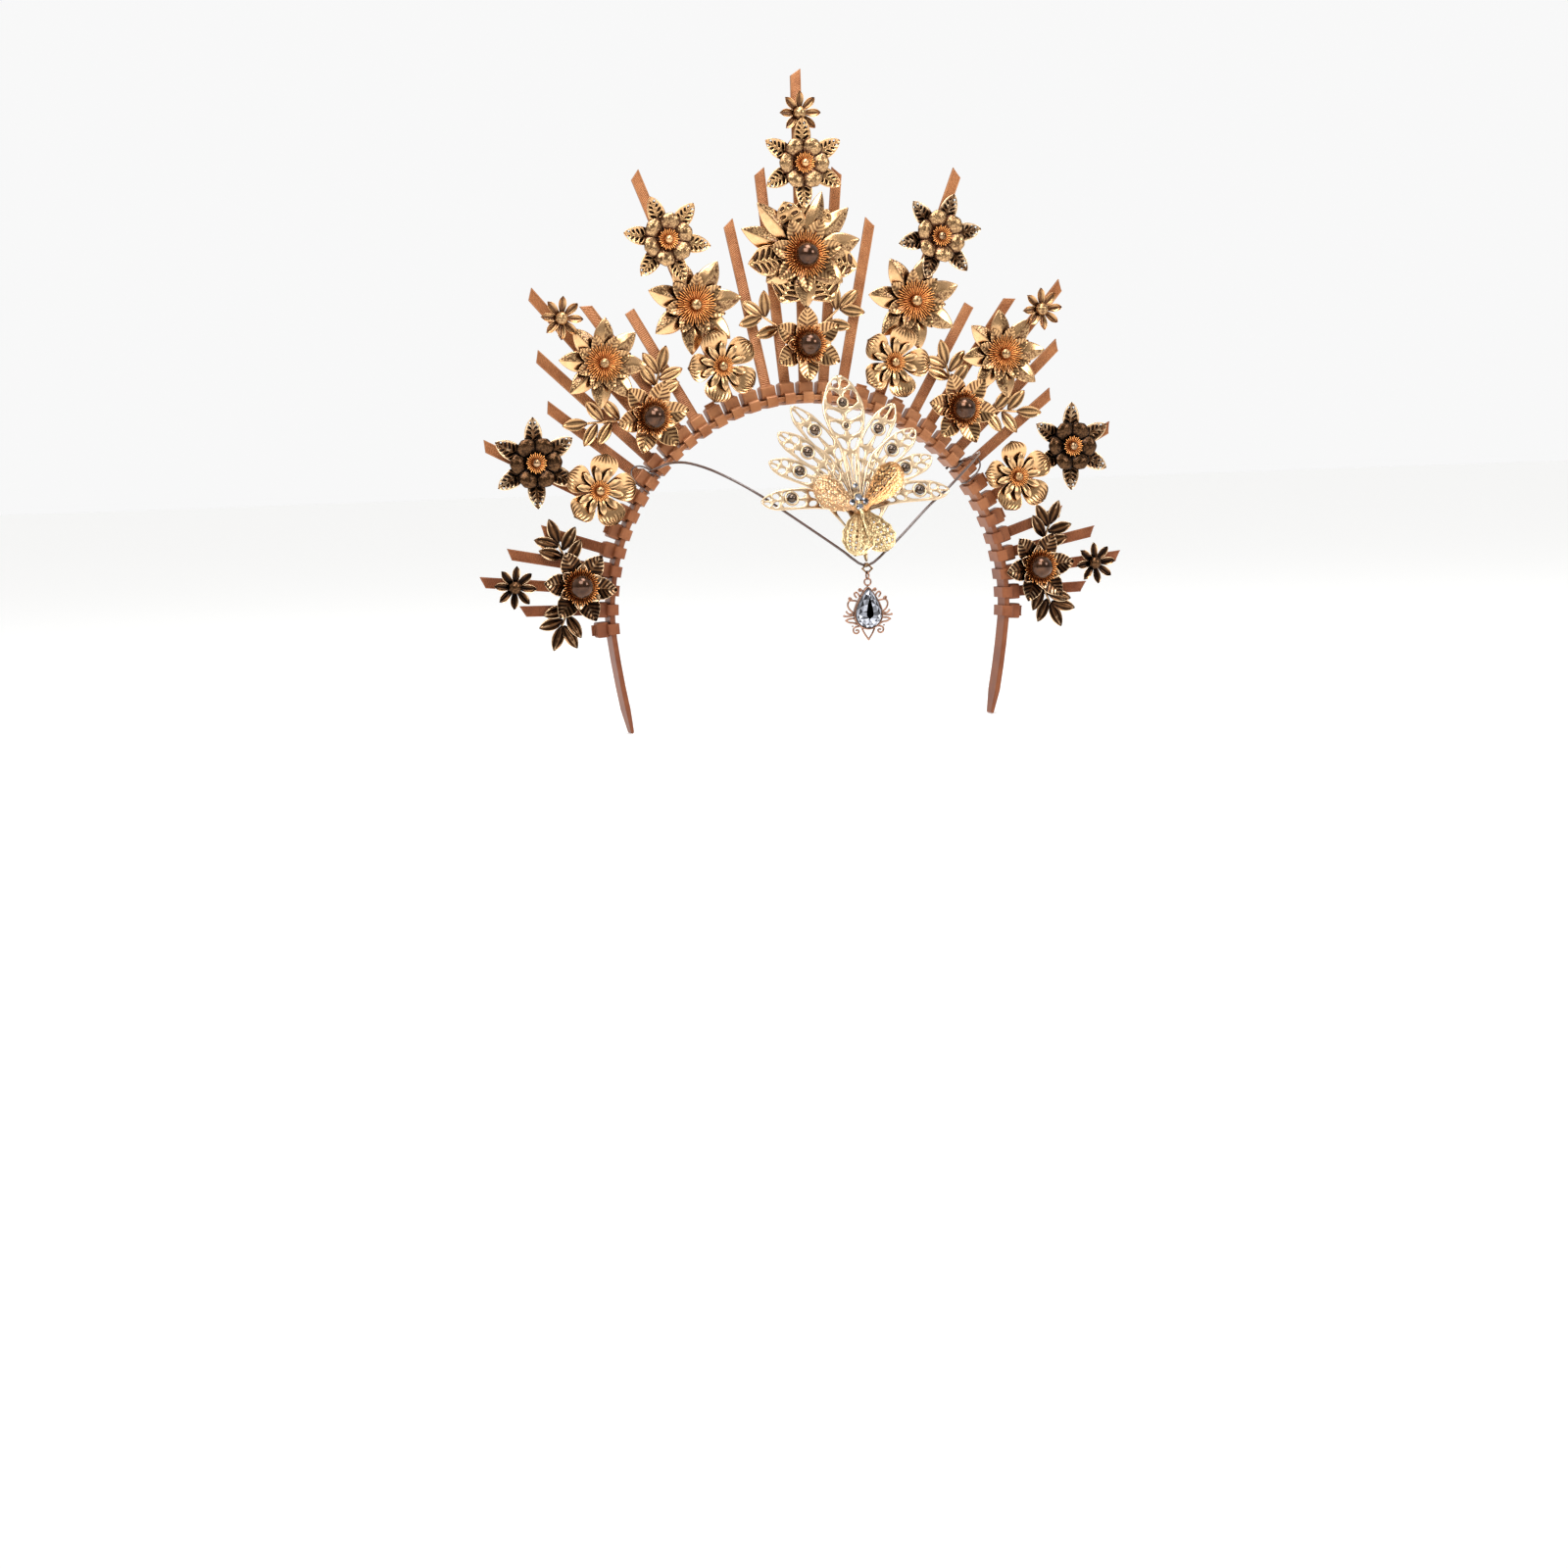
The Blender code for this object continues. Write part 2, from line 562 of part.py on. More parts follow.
def feather_gaps():
    """Return the gap outlines on both sides of each feather's rib."""
    inner = FAN_RAIL / FAN_LENGTH * RIB_SHARE
    gaps = []
    for feather in FEATHERS:
        root, along, across = feather_sides(feather)
        for near, far in FEATHER_GAPS:
            near_edge, far_edge = (gap_edge(feather, end + CHEVRON_RISE) for end in (near, far))
            corners = [(near, inner, 0), (near, near_edge, 1), (far, far_edge, 1), (far, inner, 0)]
            for side in (-1, 1):
                gap = [root + along * (share + CHEVRON_RISE * rise) + across * offset * side
                       for share, offset, rise in corners]
                gaps.append(gap)
                if feather is not FEATHERS[0]:
                    gaps.append([Vector((-point.x, point.y)) for point in gap])
    return gaps


def fan_matrix(up=0.0, forward=0.0):
    """Return the fan's frame: x across, y up the fan, z to the front."""
    place = FAN_FOOT + FAN_UP * up + FAN_FRONT * forward
    return Matrix.Translation(place) @ Matrix((FAN_SIDE, FAN_UP, FAN_FRONT)).transposed().to_4x4()


def make_fan(pale_gold):
    """Make the pierced fan of nine feathers."""
    half = FAN_THICKNESS / 2
    shape = bmesh.new()
    add_prism(shape, [point * FAN_LENGTH for point in fan_outline()], -half, half)
    fan = add_object("peacock_fan", shape, pale_gold, fan_matrix())
    gaps = bmesh.new()
    for gap in feather_gaps():
        add_prism(gaps, [point * FAN_LENGTH for point in gap], -FAN_THICKNESS, FAN_THICKNESS)
    boolean(fan, add_object("fan_gaps", gaps, pale_gold, fan_matrix()), "DIFFERENCE")


def make_butterfly(pale_gold):
    """Make the butterfly: raised pierced wings on a body."""
    size = BUTTERFLY_SIZE
    lift = FAN_THICKNESS / 2 + CLEARANCE
    frame = fan_matrix(BUTTERFLY_HEIGHT, lift) @ Matrix.Rotation(BUTTERFLY_TURN, 4, "Z")
    shape = bmesh.new()
    rings = []
    for up, half_width, height in BODY_SECTIONS:
        turns = [math.tau * i / BODY_SIDES for i in range(BODY_SIDES)]
        rings.append([Vector((half_width * math.cos(turn), up, height / 2 * (1 + math.sin(turn)))) * size
                      for turn in turns])
    add_skin(shape, rings)
    body = add_object("butterfly", shape, pale_gold, frame)
    wings, gaps = bmesh.new(), bmesh.new()
    for side in (-1, 1):
        raised = Matrix.Rotation(-WING_RAISE * side, 3, "Y")
        for number, outline in enumerate((UPPER_WING, LOWER_WING)):
            foot = size * WING_FOOT + number * WING_THICKNESS * WING_STAGGER
            points = [(x * side * size, y * size) for x, y in outline]
            add_prism(wings, points, foot, foot + WING_THICKNESS, raised)
        for gap in WING_GAPS:
            points = [(x * side * size, y * size) for x, y in gap]
            add_prism(gaps, points, -WING_THICKNESS, size * WING_FOOT + 3 * WING_THICKNESS, raised)
    boolean(body, add_object("butterfly_wings", wings, pale_gold, frame), "UNION")
    boolean(body, add_object("butterfly_gaps", gaps, pale_gold, frame), "DIFFERENCE")


def smooth_points(route, count):
    """Return evenly spaced points on a smooth curve through the route's points."""
    dense = [route[0]]
    for i in range(len(route) - 1):
        before, after = route[max(i - 1, 0)], route[min(i + 2, len(route) - 1)]
        start, end = route[i], route[i + 1]
        handles = start + (end - before) / 6, end - (after - start) / 6
        dense += interpolate_bezier(start, *handles, end, STRETCH_STEPS)[1:]
    lengths = [0.0]
    for near, far in zip(dense, dense[1:]):
        lengths.append(lengths[-1] + (far - near).length)
    points = []
    stretch = 0
    for i in range(count):
        wanted = lengths[-1] * i / (count - 1)
        while stretch < len(dense) - 2 and lengths[stretch + 1] < wanted:
            stretch += 1
        share = (wanted - lengths[stretch]) / (lengths[stretch + 1] - lengths[stretch])
        points.append(dense[stretch].lerp(dense[stretch + 1], share))
    return points


def make_cord(dark_cord):
    """Make the forehead cord from band to band as one tube."""
    left = [Vector(point) for point in CORD_ROUTE]
    right = [Vector((-point.x, point.y, point.z)) for point in reversed(left[1:])]
    points = smooth_points(right + left, CORD_POINTS)
    curve = bpy.data.curves.new("forehead_cord", "CURVE")
    curve.dimensions = "3D"
    curve.bevel_depth = CORD_DIAMETER / 2
    curve.bevel_resolution = 2
    curve.use_fill_caps = True
    curve.materials.append(dark_cord)
    spline = curve.splines.new("POLY")
    spline.points.add(len(points) - 1)
    for target, point in zip(spline.points, points):
        target.co = (*point, 1)
    cord = bpy.data.objects.new("forehead_cord", curve)
    bpy.context.collection.objects.link(cord)


def hook_outline():
    """Return the bail's hook over the cord, seen from the side: backwards, and up."""
    inner = CORD_DIAMETER / 2 + CLEARANCE
    outer = inner + BAIL_THICKNESS
    turns = [math.pi * step / HOOK_STEPS for step in range(HOOK_STEPS + 1)]
    over = [(-outer * math.cos(turn), outer * math.sin(turn)) for turn in turns]
    under = [(-inner * math.cos(turn), inner * math.sin(turn)) for turn in reversed(turns)]
    low = -CORD_DIAMETER / 2
    return [(-outer, low)] + over + [(outer, low), (inner, low)] + under + [(-inner, low)]


def make_bail(pale_gold):
    """Make the bail: a pierced diamond in front of the cord with a hook over the cord."""
    half, tip = BAIL_THICKNESS / 2, BAIL_TIP_WIDTH / 2
    frame = Matrix.Translation((0, BAIL_PLANE, 0)) @ Matrix.Rotation(math.pi / 2, 4, "X")
    middle = (BAIL_TOP + BAIL_FOOT) / 2
    diamond = bmesh.new()
    add_prism(diamond, [(tip, BAIL_TOP), (BAIL_WIDTH / 2, middle), (tip, BAIL_FOOT), (-tip, BAIL_FOOT),
                        (-BAIL_WIDTH / 2, middle), (-tip, BAIL_TOP)], -half, half)
    bail = add_object("bail", diamond, pale_gold, frame)
    hook = bmesh.new()
    add_prism(hook, hook_outline(), -HOOK_WIDTH / 2, HOOK_WIDTH / 2)
    sideways = Matrix.Translation(CORD_LOW) @ Matrix(((0, 0, 1), (1, 0, 0), (0, 1, 0))).to_4x4()
    boolean(bail, add_object("bail_hook", hook, pale_gold, sideways), "UNION")
    side = middle - BAIL_FOOT - BAIL_BAR
    eye = bmesh.new()
    add_prism(eye, [(0, middle + side), (side, middle), (0, middle - side), (-side, middle)],
              -BAIL_THICKNESS, BAIL_THICKNESS)
    boolean(bail, add_object("bail_eye", eye, pale_gold, frame), "DIFFERENCE")


def make_link(rose_gold):
    """Make the small ring between the bail and the drop."""
    shape = bmesh.new()
    add_wire_ring(shape, LINK_CENTRE, LINK_RADIUS, Vector((1, 0, 0)))
    add_object("link", shape, rose_gold)


def pear_point(width, height, turn):
    """Return the point of a pear outline at a turn from its tip: round below, pointed above."""
    round_radius = width / 2
    x, y = math.sin(turn) * round_radius, math.cos(turn)
    if y <= 0:
        return x, y * round_radius
    return x * (1 - PEAR_WAIST * y * y), (height - round_radius) * (1 - (1 - y) ** PEAR_SHARPNESS)


def stone_outline(grow, height, sides):
    """Return the stone's outline, grown on every side, about the centre of its round end."""
    size = STONE_WIDTH + 2 * grow, STONE_HEIGHT + 2 * grow
    return [Vector((*pear_point(*size, math.tau * i / sides), height)) for i in range(sides)]


def add_scroll(shape, turn, share, thickness):
    """Add a small flat ring that stands on the frame's edge."""
    grow = 2 * (BEZEL_WALL + CLEARANCE)
    edge = Vector((*pear_point(STONE_WIDTH + grow, STONE_HEIGHT + grow, turn), 0))
    outer = share * STONE_WIDTH
    inner = outer - SCROLL_WIRE
    centre = edge + Vector((math.sin(turn), math.cos(turn), 0)) * (outer - SCROLL_WIRE * SCROLL_SINK)
    turns = [math.tau * i / SCROLL_SIDES for i in range(SCROLL_SIDES)]
    rings = []
    for radius, front in ((outer, -1), (outer, 1), (inner, 1), (inner, -1)):
        rings.append([centre + Vector((radius * math.cos(a), radius * math.sin(a), front * thickness / 2))
                      for a in turns])
    add_skin(shape, rings, closed=True)


def make_drop(rose_gold, crystal):
    """Make the pear stone and its scrolled frame, hung from the link."""
    hub = Vector((0, BAIL_PLANE + HANG_OFFSET, STONE_TOP - STONE_HEIGHT + STONE_WIDTH / 2))
    frame = Matrix.Translation(hub) @ Matrix.Rotation(math.pi / 2, 4, "X")
    half = FRAME_THICKNESS / 2
    outside = BEZEL_WALL + CLEARANCE
    bezel = bmesh.new()
    profile = ((outside, -half), (-LEDGE, -half), (-LEDGE, 0), (CLEARANCE, half),
               (CLEARANCE, BEZEL_HEIGHT), (outside, BEZEL_HEIGHT))
    add_skin(bezel, [stone_outline(grow, height, BEZEL_SIDES) for grow, height in profile], closed=True)
    setting = add_object("drop_frame", bezel, rose_gold, frame)
    scrolls = bmesh.new()
    for number, (turn, share) in enumerate(SIDE_SCROLLS + (FOOT_SCROLL,)):
        thickness = FRAME_THICKNESS * (SCROLL_THICKNESS - SCROLL_THINNING * number)
        for side in (1,) if turn == FOOT_SCROLL[0] else (1, -1):
            add_scroll(scrolls, math.radians(turn) * side, share, thickness)
    boolean(setting, add_object("drop_scrolls", scrolls, rose_gold, frame), "UNION")
    loop = bmesh.new()
    add_wire_ring(loop, LOOP_CENTRE, LOOP_RADIUS, Vector((0, 1, 0)))
    boolean(setting, add_object("drop_loop", loop, rose_gold), "UNION")
    stone = bmesh.new()
    seat = half + CLEARANCE
    add_skin(stone, [stone_outline(grow * STONE_WIDTH, seat + height * STONE_DEPTH, STONE_SIDES)
                     for grow, height in STONE_STEPS])
    add_object("drop_stone", stone, crystal, frame)


def main():
    for item in list(bpy.data.objects):
        bpy.data.objects.remove(item, do_unlink=True)
    plastic = new_material("copper_painted_plastic", (0.52, 0.20, 0.075), 0.45, 0.25)
    gold = new_material("yellow_gold_plate", (0.86, 0.55, 0.18), 0.24, 1.0)
    pale_gold = new_material("pale_gold_plate", (0.90, 0.74, 0.42), 0.30, 1.0)
    rose_gold = new_material("rose_gold_plate", (0.72, 0.42, 0.27), 0.32, 1.0)
    dark_cord = new_material("dark_brown_cord", (0.06, 0.028, 0.018), 0.35, 0.0)
    crystal = new_material("clear_crystal", (0.85, 0.87, 0.90), 0.04, 0.0)
    make_headband(plastic)
    make_rays(plastic)
    make_flowers(gold)
    make_fan(pale_gold)
    make_butterfly(pale_gold)
    make_cord(dark_cord)
    make_bail(pale_gold)
    make_link(rose_gold)
    make_drop(rose_gold, crystal)


main()
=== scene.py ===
"""Looks of the crown headband: satin copper ties, gold flowers, a pierced fan and a pear drop."""
import json
import bmesh
import bpy
from math import atan2, copysign, cos, pi, radians, sin, tan, tau
from mathutils import Matrix, Vector
from mathutils.geometry import interpolate_bezier

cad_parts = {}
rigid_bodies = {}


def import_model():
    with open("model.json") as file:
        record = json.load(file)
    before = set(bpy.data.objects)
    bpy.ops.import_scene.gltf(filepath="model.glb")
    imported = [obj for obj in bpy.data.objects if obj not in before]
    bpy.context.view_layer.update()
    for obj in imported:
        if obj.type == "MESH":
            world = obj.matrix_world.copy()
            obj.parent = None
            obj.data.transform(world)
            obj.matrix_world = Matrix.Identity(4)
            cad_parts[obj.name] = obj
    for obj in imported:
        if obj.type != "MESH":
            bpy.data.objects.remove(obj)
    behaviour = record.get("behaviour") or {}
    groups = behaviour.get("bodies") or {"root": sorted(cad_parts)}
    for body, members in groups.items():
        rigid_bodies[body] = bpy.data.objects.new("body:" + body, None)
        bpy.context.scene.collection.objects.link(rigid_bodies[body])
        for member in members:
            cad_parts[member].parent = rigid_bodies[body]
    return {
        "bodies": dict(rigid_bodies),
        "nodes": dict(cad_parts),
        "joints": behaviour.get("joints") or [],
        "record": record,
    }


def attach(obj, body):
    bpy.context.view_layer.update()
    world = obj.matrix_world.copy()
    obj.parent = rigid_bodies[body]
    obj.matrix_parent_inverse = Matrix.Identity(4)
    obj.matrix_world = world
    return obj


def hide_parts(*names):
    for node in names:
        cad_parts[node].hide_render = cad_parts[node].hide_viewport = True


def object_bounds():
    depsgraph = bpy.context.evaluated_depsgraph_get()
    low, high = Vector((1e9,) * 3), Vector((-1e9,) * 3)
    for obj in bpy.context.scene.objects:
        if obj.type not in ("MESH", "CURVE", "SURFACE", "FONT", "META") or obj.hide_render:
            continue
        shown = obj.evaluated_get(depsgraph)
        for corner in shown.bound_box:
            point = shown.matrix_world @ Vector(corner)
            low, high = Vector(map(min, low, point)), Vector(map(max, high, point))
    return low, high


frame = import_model()
cad_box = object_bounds()


# Camera. The crown is seen from a little to the left of its front and a little above, as in the photograph,
# and the lens and roll come from a fit of known points of the crown.
def new_object(name, data):
    """Make an object of its data and put it in the scene."""
    made = bpy.data.objects.new(name, data)
    bpy.context.scene.collection.objects.link(made)
    return made


CAMERA_TARGET, CAMERA_DISTANCE = (-0.0152, 0.0, -0.175), 1.638
camera_data = bpy.data.cameras.new("camera")
camera_data.lens = 81.9
camera_data.sensor_width = 36.0
camera = new_object("camera", camera_data)
turn, rise, roll = radians(-18.125), radians(5.731), radians(-1.686)
camera.matrix_world = (Matrix.Translation(CAMERA_TARGET) @ Matrix.Rotation(turn, 4, "Z")
                       @ Matrix.Rotation(pi / 2 - rise, 4, "X") @ Matrix.Rotation(roll, 4, "Z")
                       @ Matrix.Translation((0, 0, CAMERA_DISTANCE)))
bpy.context.scene.camera = camera


# Cord. A thin, round, dark brown cord with a clear glossy coat, tied to the band at both sides and drawn
# taut over the front by the fan and the drop. It follows the same points as the source.
def shader_of(material):
    """The shader that holds a material's plain values."""
    return material.node_tree.nodes["Principled BSDF"]


def feed(node, inputs):
    """Give each of the inputs named a value, or the output of another node."""
    for name, source in inputs.items():
        if isinstance(source, bpy.types.NodeSocket):
            node.id_data.links.new(source, node.inputs[name])
        else:
            node.inputs[name].default_value = source


def new_material(name, colour, roughness, metallic=0.0, coat=0.0, coat_roughness=0.03):
    """A material whose shader holds the plain values; nodes for colour and relief are added to it."""
    material = bpy.data.materials.new(name)
    material.use_nodes = True
    feed(shader_of(material), {"Base Color": (*colour, 1.0), "Roughness": roughness, "Metallic": metallic,
                               "Coat Weight": coat, "Coat Roughness": coat_roughness})
    return material


def add_node(owner, kind, output, inputs=None, **settings):
    """Add a node to a material or the world, with its settings and inputs, and return its output."""
    node = owner.node_tree.nodes.new("ShaderNode" + kind)
    for name, value in settings.items():
        setattr(node, name, value)
    feed(node, inputs or {})
    return node.outputs[output]


def add_noise(material, scale, detail=2.0):
    """Add a cloudy pattern that is fixed to the piece."""
    place = add_node(material, "TexCoord", "Object")
    return add_node(material, "TexNoise", "Fac", {"Vector": place, "Scale": scale, "Detail": detail})


def add_relief(material, height, strength, depth):
    """Give a material a fine relief of a depth in metres."""
    relief = add_node(material, "Bump", "Normal", {"Height": height, "Strength": strength, "Distance": depth})
    feed(shader_of(material), {"Normal": relief})


def new_strand(name, kind, points, radius, roundness):
    """A curve of one open spline through the points, as thick as a cord or a wire."""
    curve = bpy.data.curves.new(name, "CURVE")
    curve.dimensions = "3D"
    curve.bevel_depth = radius
    curve.bevel_resolution = roundness
    curve.use_fill_caps = True
    spline = curve.splines.new(kind)
    spline.points.add(len(points) - 1)
    for target, point in zip(spline.points, points):
        target.co = (*point, 1.0)
    return curve


CORD_ROUTE = (
    (0, -.0780, -.0735), (.0050, -.0779, -.0709), (.0100, -.0773, -.0668), (.0180, -.0751, -.0607),
    (.0330, -.0682, -.0490), (.0440, -.0651, -.0410), (.0530, -.0592, -.0348), (.0620, -.0510, -.0294),
    (.0690, -.0400, -.0264), (.0733, -.0270, -.0265), (.0750, -.0150, -.0286), (.07502, -.0070, -.02970),
    (.07449, 0, -.03016), (.07434, .0036, -.03029), (.07335, .0061, -.03113), (.07183, .0068, -.03243),
    (.07054, .0067, -.03354))
CORD_DIAMETER, CORD_POINTS, STRETCH_STEPS = 0.0012, 77, 24
left_half = [Vector(point) for point in CORD_ROUTE]
route = [Vector((-point.x, point.y, point.z)) for point in reversed(left_half[1:])] + left_half
dense = [route[0]]
for i in range(len(route) - 1):
    before, after = route[max(i - 1, 0)], route[min(i + 2, len(route) - 1)]
    handles = route[i] + (route[i + 1] - before) / 6, route[i + 1] - (after - route[i]) / 6
    dense += interpolate_bezier(route[i], *handles, route[i + 1], STRETCH_STEPS)[1:]
lengths = [0.0]
for near, far in zip(dense, dense[1:]):
    lengths.append(lengths[-1] + (far - near).length)
cord_points = []
stretch = 0
for i in range(CORD_POINTS):
    wanted = lengths[-1] * i / (CORD_POINTS - 1)
    while stretch < len(dense) - 2 and lengths[stretch + 1] < wanted:
        stretch += 1
    share = (wanted - lengths[stretch]) / (lengths[stretch + 1] - lengths[stretch])
    cord_points.append(dense[stretch].lerp(dense[stretch + 1], share))
cord_curve = new_strand("cord", "POLY", cord_points, CORD_DIAMETER / 2, 4)
cord_brown = new_material("cord_brown", (0.060, 0.022, 0.012), 0.30, coat=1.0, coat_roughness=0.14)
add_relief(cord_brown, add_noise(cord_brown, 1400.0), 0.35, 0.0001)
cord_curve.materials.append(cord_brown)
cord = new_object("cord", cord_curve)
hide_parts("forehead_cord")
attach(cord, "crown")


# Floor and light. The crown stands on the ends of its band on a plain pale floor, under a bright, soft
# studio light with a softbox at each side of the camera and one above.
def add_ramp(owner, share, *stops):
    """Add a ramp of colours, each given with its place from 0 to 1, and return its colour."""
    ramp = owner.node_tree.nodes.new("ShaderNodeValToRGB")
    elements = ramp.color_ramp.elements
    elements[0].position, elements[1].position = stops[0][0], stops[-1][0]
    for place, colour in stops[1:-1]:
        elements.new(place)
    for element, (place, colour) in zip(elements, stops):
        element.color = (*colour, 1.0)
    feed(ramp, {"Fac": share})
    return ramp.outputs["Color"]


FLOOR_SIZE, FLOOR_GAP = 6.0, 0.0002
BRIGHTEST_WAY = (0.0, 0.75, 0.66)
LIT_POINT = Vector((0, 0, -0.02))
SOFTBOXES = (("left_softbox", (-0.30, -0.62, 0.62), 0.50, 5.2),
             ("right_softbox", (0.65, -0.70, 0.40), 0.30, 2.4),
             ("top_softbox", (0.05, -0.20, 0.65), 0.30, 2.6))
floor_shape = bmesh.new()
bmesh.ops.create_grid(floor_shape, x_segments=1, y_segments=1, size=FLOOR_SIZE,
                      matrix=Matrix.Translation((0, 0, cad_box[0][2] - FLOOR_GAP)))
floor_mesh = bpy.data.meshes.new("floor")
floor_shape.to_mesh(floor_mesh)
floor_white = new_material("floor_white", (0.92, 0.92, 0.91), 0.9)
feed(shader_of(floor_white), {"Emission Color": (1.0, 1.0, 1.0, 1.0), "Emission Strength": 0.18})
floor_mesh.materials.append(floor_white)
floor = new_object("floor", floor_mesh)
world = bpy.data.worlds.new("studio")
world.use_nodes = True
bpy.context.scene.world = world
direction = add_node(world, "TexCoord", "Generated")
facing = add_node(world, "VectorMath", "Value", {0: direction, 1: BRIGHTEST_WAY}, operation="DOT_PRODUCT")
brightness = add_node(world, "MapRange", "Result", {"Value": facing, "From Min": -1.0})
walls = add_ramp(world, brightness, (0.35, (0.30, 0.295, 0.29)), (0.74, (0.94, 0.94, 0.94)))
feed(world.node_tree.nodes["Background"], {"Color": walls})
bpy.context.scene.view_settings.view_transform = "Standard"
for name, place, size, power in SOFTBOXES:
    lamp = bpy.data.lights.new(name, "AREA")
    lamp.size = size
    lamp.energy = power
    aim = (LIT_POINT - Vector(place)).to_track_quat("-Z", "Y")
    new_object(name, lamp).matrix_world = Matrix.Translation(place) @ aim.to_matrix().to_4x4()


# Headband. A springy plastic arc with two straight arms that grip by their spring, painted a satin copper
# like the ties. Ten more ties round it have their tails trimmed short.
def add_piece(name, shape, materials, nodes=(), body="crown", smooth=True, levels=0):
    """Turn a shape into a piece of the crown, with its materials, its body and the nodes it stands for."""
    bmesh.ops.recalc_face_normals(shape, faces=shape.faces)
    mesh = bpy.data.meshes.new(name)
    shape.to_mesh(mesh)
    shape.free()
    for material in materials:
        mesh.materials.append(material)
    shade = mesh.shade_smooth if smooth else mesh.shade_flat
    shade()
    piece = new_object(name, mesh)
    if levels:
        rounding = piece.modifiers.new("rounding", "SUBSURF")
        rounding.levels = rounding.render_levels = levels
    if nodes:
        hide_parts(*nodes)
    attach(piece, body)


def parts_of(items, kind):
    """The vertices, edges or faces that belong to parts of a shape, each of them once."""
    return list(dict.fromkeys(part for item in items for part in getattr(item, kind)))


def faces_in(items):
    """The faces among the parts that an operator made."""
    return [item for item in items if isinstance(item, bmesh.types.BMFace)]


def bevel(shape, edges, offset, segments=2):
    """Round some edges of a shape off."""
    bmesh.ops.bevel(shape, geom=edges, offset=offset, offset_type="OFFSET", segments=segments, profile=0.5,
                    affect="EDGES", material=-1)


def add_box(shape, low, high):
    """Add a box between two corners and return its vertices."""
    low, high = Vector(low), Vector(high)
    place = Matrix.Translation((low + high) / 2) @ Matrix.Diagonal((*(high - low), 1.0))
    return bmesh.ops.create_cube(shape, size=1.0, matrix=place)["verts"]


# The crown's own frame has x to the left side, y up and z to the front, from the centre of the band's arc.
RING_CENTRE = Vector((0, 0, -0.094))
STANDING = Matrix.Rotation(pi / 2, 4, "X")
CROWN_FRAME = Matrix.Translation(RING_CENTRE) @ STANDING
BAND_INNER, BAND_OUTER, BAND_HALF_WIDTH, BAND_ROUNDING = 0.094, 0.0964, 0.005, 0.0006
BAND_END, ARM_STEPS, ARM_STEP, ARM_BEND, ARM_TIP = 18.5, 4, 0.011, radians(1.5), 0.6
PLACE_STEP = radians(5.2)
WELD = 0.00001
TIE_HALF_WIDTH, TIE_THICKNESS, TIE_GAP, TIE_CORNER = 0.0024, 0.0012, 0.0003, 0.0014
HEAD_FOOT, HEAD_TOP = 0.0967, 0.1023
# The head and the lip at its mouth: half width, foot, top, half depth and rounding.
HEAD_BLOCKS = ((0.0035, HEAD_FOOT, HEAD_TOP, 0.0033, 0.0007),
               (0.0029, HEAD_TOP - 0.0006, HEAD_TOP + 0.0004, 0.0016, 0.0003))
TAIL_ROOT, TAIL_CUT, TRIMMED_TAIL = HEAD_TOP - 0.0008, 0.0032, 0.0018
TRACK_WIDTH, RAIL_INNER, RAIL_HEIGHT = 0.0037, 0.0018, 0.0003
RIB_PITCH, RIB_TOP, RIB_FOOT = 0.00085, 0.00005, 0.00035
TRIMMED_TIES = (-18, -13, -11, -5, -3, 3, 5, 11, 13, 18)


def turned(frame, turn):
    """A frame turned about its own z axis."""
    return frame @ Matrix.Rotation(turn, 4, "Z")


def moved(frame, x=0.0, y=0.0, z=0.0):
    """A frame moved along its own axes."""
    return frame @ Matrix.Translation((x, y, z))


